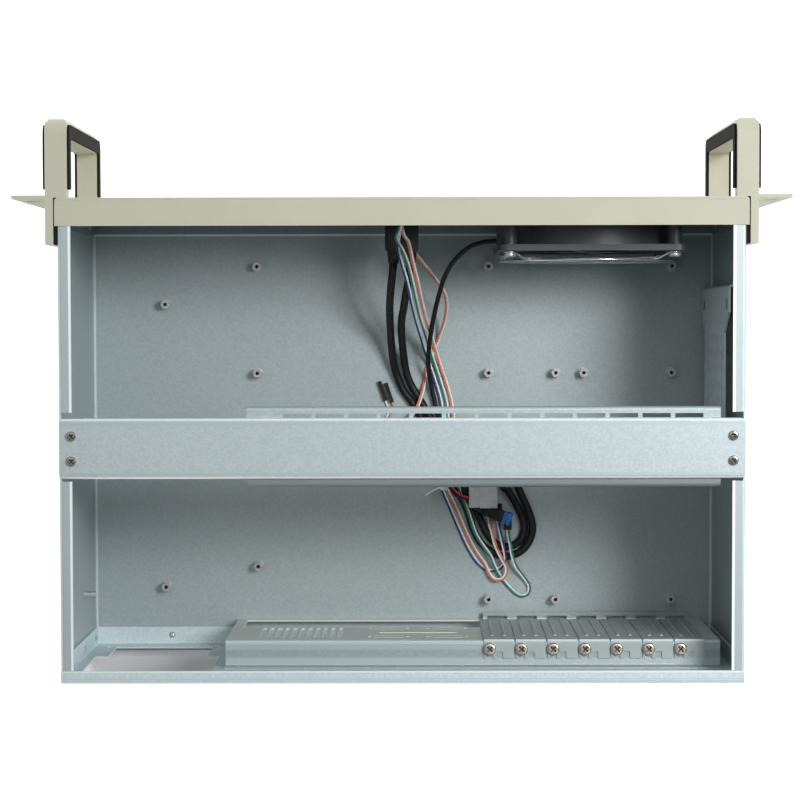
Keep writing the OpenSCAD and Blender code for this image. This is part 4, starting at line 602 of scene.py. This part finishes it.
FINISHES = {
    "slot_steel": lambda finish: galvanised("slot_steel", (0.46, 0.51, 0.52), 420.0, SLOT_PAINTED_STRIPES),
    "galvanised_steel": lambda finish: galvanised("galvanised_steel", finish.steel, finish.spangle),
    "beige_paint": lambda finish: powder_coat("beige_paint", finish.paint),
    "black_plastic": lambda finish: moulded("black_plastic", (0.016, 0.017, 0.019)),
    "dark_plastic": lambda finish: moulded("dark_plastic", (0.035, 0.037, 0.04), 0.4),
    # Painted sheen: black plastic lightened and tinted blue for the glossy reflection on the fan
    "fan_plastic_painted_sheen": lambda finish: moulded("fan_plastic_painted_sheen", (0.054, 0.062, 0.069), 0.45),
    "chrome_screw": lambda finish: plated("chrome_screw", (0.42, 0.42, 0.41), 0.16),
    "nickel_screw": lambda finish: plated("nickel_screw", (0.63, 0.59, 0.52)),
    "zinc_hardware": lambda finish: plated("zinc_hardware", (0.52, 0.54, 0.54), 0.3, 0.6),
    "guard_wire": lambda finish: plated("guard_wire", (0.78, 0.79, 0.79), 0.16),
    "port_shell": lambda finish: plated("port_shell", (0.66, 0.67, 0.67), 0.24),
    "stator_core": lambda finish: moulded("stator_core", (0.28, 0.17, 0.10), 0.45),
    "bearing_bronze": lambda finish: plated("bearing_bronze", (0.48, 0.31, 0.13)),
    # Painted shade: a near-black lining that darkens the screw recesses
    "recess_painted_shade": lambda finish: plated("recess_painted_shade", (0.09, 0.08, 0.066), 0.45),
    "grip_rubber": lambda finish: rubber("grip_rubber", (0.014, 0.0135, 0.012)),
    "lamp_green": lambda finish: lens("lamp_green", (0.10, 0.42, 0.18)),
    "lamp_amber": lambda finish: lens("lamp_amber", (0.58, 0.26, 0.05)),
    "cable_black": lambda finish: jacket("cable_black", (0.007, 0.0075, 0.008), 0.45, 0.3),
    "wire_green": lambda finish: jacket("wire_green", (0.006, 0.21, 0.15)),
    "wire_orange": lambda finish: jacket("wire_orange", (0.74, 0.215, 0.085)),
    "wire_blue": lambda finish: jacket("wire_blue", (0.006, 0.045, 0.16)),
    "wire_white": lambda finish: jacket("wire_white", (0.93, 0.92, 0.89)),
    "wire_red": lambda finish: jacket("wire_red", (0.62, 0.02, 0.045)),
    "plug_black": lambda finish: moulded("plug_black", (0.008, 0.0085, 0.009), 0.45, 0.3),
    "plug_blue": lambda finish: moulded("plug_blue", (0.008, 0.15, 0.50), 0.38),
    "plug_white": lambda finish: moulded("plug_white", (0.55, 0.56, 0.56), 0.45),
    "tie_white": lambda finish: moulded("tie_white", (0.80, 0.80, 0.77), 0.35),
}
MATERIALS = {}


def material(slot):
    """The finish of a slot, made when it is first asked for."""
    if slot not in MATERIALS:
        MATERIALS[slot] = FINISHES[slot](bpy.context.scene.chassis_finish)
    return MATERIALS[slot]


def node_material(node, slot):
    """The finish of a part: its slot's, its own, or, if it is a sheet, its painted tone of steel with its
    stripes of painted light and shade.
    """
    if node in SHEET_PAINTED_LIGHT_AND_SHADE:
        painted_tone, painted_stripes = SHEET_PAINTED_LIGHT_AND_SHADE[node]
        finish = bpy.context.scene.chassis_finish
        return galvanised(node + "_steel", [painted_tone * c for c in finish.steel], finish.spangle, painted_stripes)
    return material(OWN_FINISH.get(node, slot))


# Operators


class CHASSIS_OT_stage(bpy.types.Operator):
    """Set up the floor, the soft light and the camera above the chassis"""

    bl_idname = "chassis.stage"
    bl_label = "Stage"

    def execute(self, context):
        stage = context.scene.chassis_stage
        self.add_camera(context, stage)
        self.add_floor(stage.floor_size)
        self.add_world(context, stage.sky)
        self.add_light("key_light", KEY_PLACE, KEY_SIZE, stage.key)
        self.add_light("fill_light", FILL_PLACE, FILL_SIZE, stage.fill)
        context.scene.view_settings.view_transform = "Standard"
        return {"FINISHED"}

    def add_camera(self, context, stage):
        camera = bpy.data.cameras.new("camera")
        camera.sensor_width = 36.0
        camera.lens = stage.lens
        camera.shift_x, camera.shift_y = stage.shift
        camera.clip_end = 50.0
        holder = bpy.data.objects.new("camera", camera)
        holder.location = stage.place
        holder.rotation_euler = stage.turn
        context.scene.collection.objects.link(holder)
        context.scene.camera = holder

    def add_floor(self, size):
        """White floor that glows like a light table, but not under the chassis: the glow fades out in a
        painted contact shadow round it, and a weak painted patch of light lies under the rear recess.
        """
        shade = Shade("floor_white", (0.6, 0.6, 0.6), roughness=0.9)
        shade.set("Emission Color", (1, 1, 1, 1))
        beside = shade.ramp(shade.sums("ABSOLUTE", shade.along("X")), *GLOW_BESIDE)
        before = shade.ramp(shade.along("Y"), *GLOW_BEFORE)
        behind = shade.ramp(shade.along("Y"), *GLOW_BEHIND)
        rise = shade.ramp(shade.along("Y"), *PAINTED_LIGHT_PATCH_RISE)
        fall = shade.ramp(shade.along("Y"), *PAINTED_LIGHT_PATCH_FALL)
        painted_light_patch = shade.sums("MULTIPLY", shade.sums("MULTIPLY", rise, fall), PAINTED_LIGHT_PATCH)
        glow_past_painted_shadow = shade.sums("MAXIMUM", shade.sums("MAXIMUM", beside, before), behind)
        glow_past_painted_shadow = shade.sums("MAXIMUM", glow_past_painted_shadow, painted_light_patch)
        shade.link(shade.sums("MULTIPLY", glow_past_painted_shadow, GLOW), "Emission Strength")
        mesh = bpy.data.meshes.new("floor")
        half = size / 2
        corners = [(-half, -half, 0), (half, -half, 0), (half, half, 0), (-half, half, 0)]
        mesh.from_pydata(corners, [], [(0, 1, 2, 3)])
        mesh.materials.append(shade.material)
        floor = bpy.data.objects.new("floor", mesh)
        bpy.context.scene.collection.objects.link(floor)

    def add_world(self, context, strength):
        """Pale all round near the horizon and at the given strength higher up."""
        world = bpy.data.worlds.new("studio")
        world.use_nodes = True
        nodes = world.node_tree.nodes
        links = world.node_tree.links
        nodes["Background"].inputs["Color"].default_value = SKY_COLOUR
        split = nodes.new("ShaderNodeSeparateXYZ")
        links.new(nodes.new("ShaderNodeTexCoord").outputs["Generated"], split.inputs["Vector"])
        fade = nodes.new("ShaderNodeMapRange")
        for socket, value in zip(fade.inputs[1:5], (*HORIZON, HORIZON_STRENGTH, strength)):
            socket.default_value = value
        links.new(split.outputs["Z"], fade.inputs["Value"])
        links.new(fade.outputs["Result"], nodes["Background"].inputs["Strength"])
        context.scene.world = world

    def add_light(self, name, place, size, power):
        light = bpy.data.lights.new(name, "AREA")
        light.shape = "SQUARE"
        light.size = size
        light.energy = power
        lamp = bpy.data.objects.new(name, light)
        lamp.location = place
        lamp.rotation_euler = (Vector(LIGHT_AIM) - Vector(place)).to_track_quat("-Z", "Y").to_euler()
        bpy.context.scene.collection.objects.link(lamp)


class CHASSIS_OT_plugs(bpy.types.Operator):
    """Mould the plugs at the ends of the port cables and of the fan lead"""

    bl_idname = "chassis.plugs"
    bl_label = "Plugs"

    def execute(self, context):
        for k, degrees in enumerate(PORT_PLUG_TURNS, 1):
            place = ROUTES["usb_cable_%d" % k][-1]
            for name, stations, slot in (("port_boot_%d", PORT_BOOT, "plug_black"),
                                         ("port_tip_%d", PORT_TIP, "plug_blue")):
                rings = turned(box_rings(stations, 1.1), degrees, place)
                piece = skin(name % k, [rings], material(slot))
                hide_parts("usb_plugs")
        self.add_fan_plug(ROUTES["fan_lead"][-1])
        return {"FINISHED"}

    def add_fan_plug(self, place):
        """Four-way housing: a stepped block with two ribs on top, a latch and a hollow mating end."""
        blocks = [turned(box_rings(FAN_HOUSING, 0.9), FAN_PLUG_TURN, place)]
        for shift in FAN_RIB_PLACES:
            blocks.append(turned(box_rings(FAN_RIB, 0.3) + shift, FAN_PLUG_TURN, place))
        latch = box_rings(FAN_LATCH, 0.25) + FAN_LATCH_PLACE
        blocks.append(turned(latch, FAN_PLUG_TURN, place))
        piece = skin("fan_housing", blocks, material("plug_white"))
        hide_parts("fan_plug")


class CHASSIS_OT_tie(bpy.types.Operator):
    """Wrap the cable tie round two of the wire pairs, with its lock and its ribbed tail"""

    bl_idname = "chassis.tie"
    bl_label = "Cable tie"

    def execute(self, context):
        place = np.array(TIE_PLACE)
        angle = np.linspace(0, 2 * math.pi, 40, endpoint=False)
        loop = place + np.stack([np.cos(angle), 0 * angle, np.sin(angle)], 1) * (TIE_R + TIE_BAND_SET)
        out = unit(loop - place)
        profile = rounded_loop(*TIE_BAND, 0.3, 3)
        along = np.array([0, 1.0, 0])
        band = loop[:, None] + profile[None, :, :1] * out[:, None] + profile[None, :, 1:] * along
        lock = box_rings(TIE_LOCK, 0.6) + place + (0, 0, TIE_R + TIE_LOCK_RISE)
        piece = skin("tie_lock", [lock, self.tail(place)], material("tie_white"))
        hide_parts("cable_tie")
        piece = skin("tie_band", [band], material("tie_white"), closed=True)
        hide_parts("cable_tie")
        return {"FINISHED"}

    def tail(self, place):
        """Tail on edge: a thin strip that runs out of the lock, droops and has ribs a millimetre apart."""
        s = np.linspace(0, 1, TIE_TAIL_STEPS)
        path = place + np.stack([2 + 11.4 * s, 6.2 * s ** 1.3, TIE_R + TIE_LOCK_RISE - 4.2 * s ** 2], 1)
        side = side_ways(path)
        thick = 0.75 + 0.25 * (np.arange(TIE_TAIL_STEPS) % 4 < 2)
        thick[-3:] *= 0.7
        profile = rounded_loop(*TIE_TAIL, 0.3, 3)
        up = np.array([0, 0, 1.0])
        wide = profile[None, :, :1] * thick[:, None, None] * side[:, None]
        return path[:, None] + wide + profile[None, :, 1:] * up


class CHASSIS_OT_cords(bpy.types.Operator):
    """Draw the port cables, the fan lead and the pairs of thin wires on their routes"""

    bl_idname = "chassis.cords"
    bl_label = "Cords"

    def execute(self, context):
        cords = context.scene.chassis_cords
        for name, node in (("port_cable_1", "usb_cable_1"), ("port_cable_2", "usb_cable_2")):
            path = smooth_route(ROUTES[node], cords.steps)
            plugs = [bpy.data.objects[part + name[-1]] for part in ("port_boot_", "port_tip_")]
            self.add(name, node, path, cords.port_cable, "cable_black", plugs)
        path = smooth_route(ROUTES["fan_lead"], cords.steps)
        self.add("fan_lead_sleeve", "fan_lead", path, cords.fan_lead, "cable_black",
                 [bpy.data.objects["fan_housing"]])
        self.add("fan_wire_red", "fan_lead", smooth_route(RED_WIRE, cords.steps), cords.wire, "wire_red",
                 [bpy.data.objects["fan_housing"]])
        for node, colour in PAIRS.items():
            path = smooth_route(ROUTES[node], cords.steps)
            ends = PIN_ENDS if node == "drive_led_wires" else ((), ())
            for side, slot, end in ((1, colour, ends[0]), (-1, "wire_white", ends[1])):
                wire = path + side * PAIR_GAP * side_ways(path)
                if end:
                    wire = np.vstack([wire[:-2], smooth_route(np.vstack([wire[-2:], end]), cords.steps)])
                self.add(node + ("_a" if side > 0 else "_b"), node, wire, cords.wire, slot,
                         [frame["nodes"]["header_plugs"]])
        return {"FINISHED"}

    def add(self, name, node, path, radius, slot, plugs):
        piece = skin(name, [tube_rings(path, radius / MM)], material(slot))
        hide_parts(node)


class CHASSIS_OT_recesses(bpy.types.Operator):
    """Line the cross recesses of the slot screws and of the bar screws with a dark finish that paints the
    shade in them
    """

    bl_idname = "chassis.recesses"
    bl_label = "Screw recesses"

    def execute(self, context):
        for name, places, head in (("slot_recesses", SLOT_SCREWS, SLOT_HEAD),
                                   ("bar_recesses", BAR_SCREWS, BAR_HEAD)):
            cups = [turned(cross_cup(head), 45, place) for place in places]
            skin(name, cups, material("recess_painted_shade"), hollow=True)
        return {"FINISHED"}


class CHASSIS_OT_finishes(bpy.types.Operator):
    """Give every part of the chassis its finish"""

    bl_idname = "chassis.finishes"
    bl_label = "Finishes"

    def execute(self, context):
        for part in frame["record"]["subparts"]:
            mesh = frame["nodes"][part["node"]].data
            mesh.materials.clear()
            mesh.materials.append(node_material(part["node"], part["material_slot"]))
        return {"FINISHED"}


class CHASSIS_PT_panel(bpy.types.Panel):
    """Sidebar panel with the settings of the stage, the cords and the finishes"""

    bl_idname = "CHASSIS_PT_panel"
    bl_label = "Chassis"
    bl_space_type = "VIEW_3D"
    bl_region_type = "UI"
    bl_category = "Chassis"

    def draw(self, context):
        layout = self.layout
        for name in GROUPS:
            group = getattr(context.scene, name)
            box = layout.box()
            for key in group.__annotations__:
                box.prop(group, key)
        for step in STEPS:
            layout.operator(step.bl_idname)


GROUPS = {"chassis_stage": ChassisStage, "chassis_cords": ChassisCords, "chassis_finish": ChassisFinish}
STEPS = (CHASSIS_OT_stage, CHASSIS_OT_plugs, CHASSIS_OT_cords, CHASSIS_OT_tie, CHASSIS_OT_recesses,
         CHASSIS_OT_finishes)


def register():
    for name, group in GROUPS.items():
        bpy.utils.register_class(group)
        setattr(bpy.types.Scene, name, bpy.props.PointerProperty(type=group))
    for cls in (*STEPS, CHASSIS_PT_panel):
        bpy.utils.register_class(cls)


def unregister():
    for cls in (CHASSIS_PT_panel, *reversed(STEPS)):
        bpy.utils.unregister_class(cls)
    for name, group in GROUPS.items():
        delattr(bpy.types.Scene, name)
        bpy.utils.unregister_class(group)


def main():
    """Run each step in order."""
    register()
    bpy.ops.chassis.stage()
    bpy.ops.chassis.plugs()
    bpy.ops.chassis.cords()
    bpy.ops.chassis.tie()
    bpy.ops.chassis.recesses()
    bpy.ops.chassis.finishes()


if __name__ == "__main__":
    main()
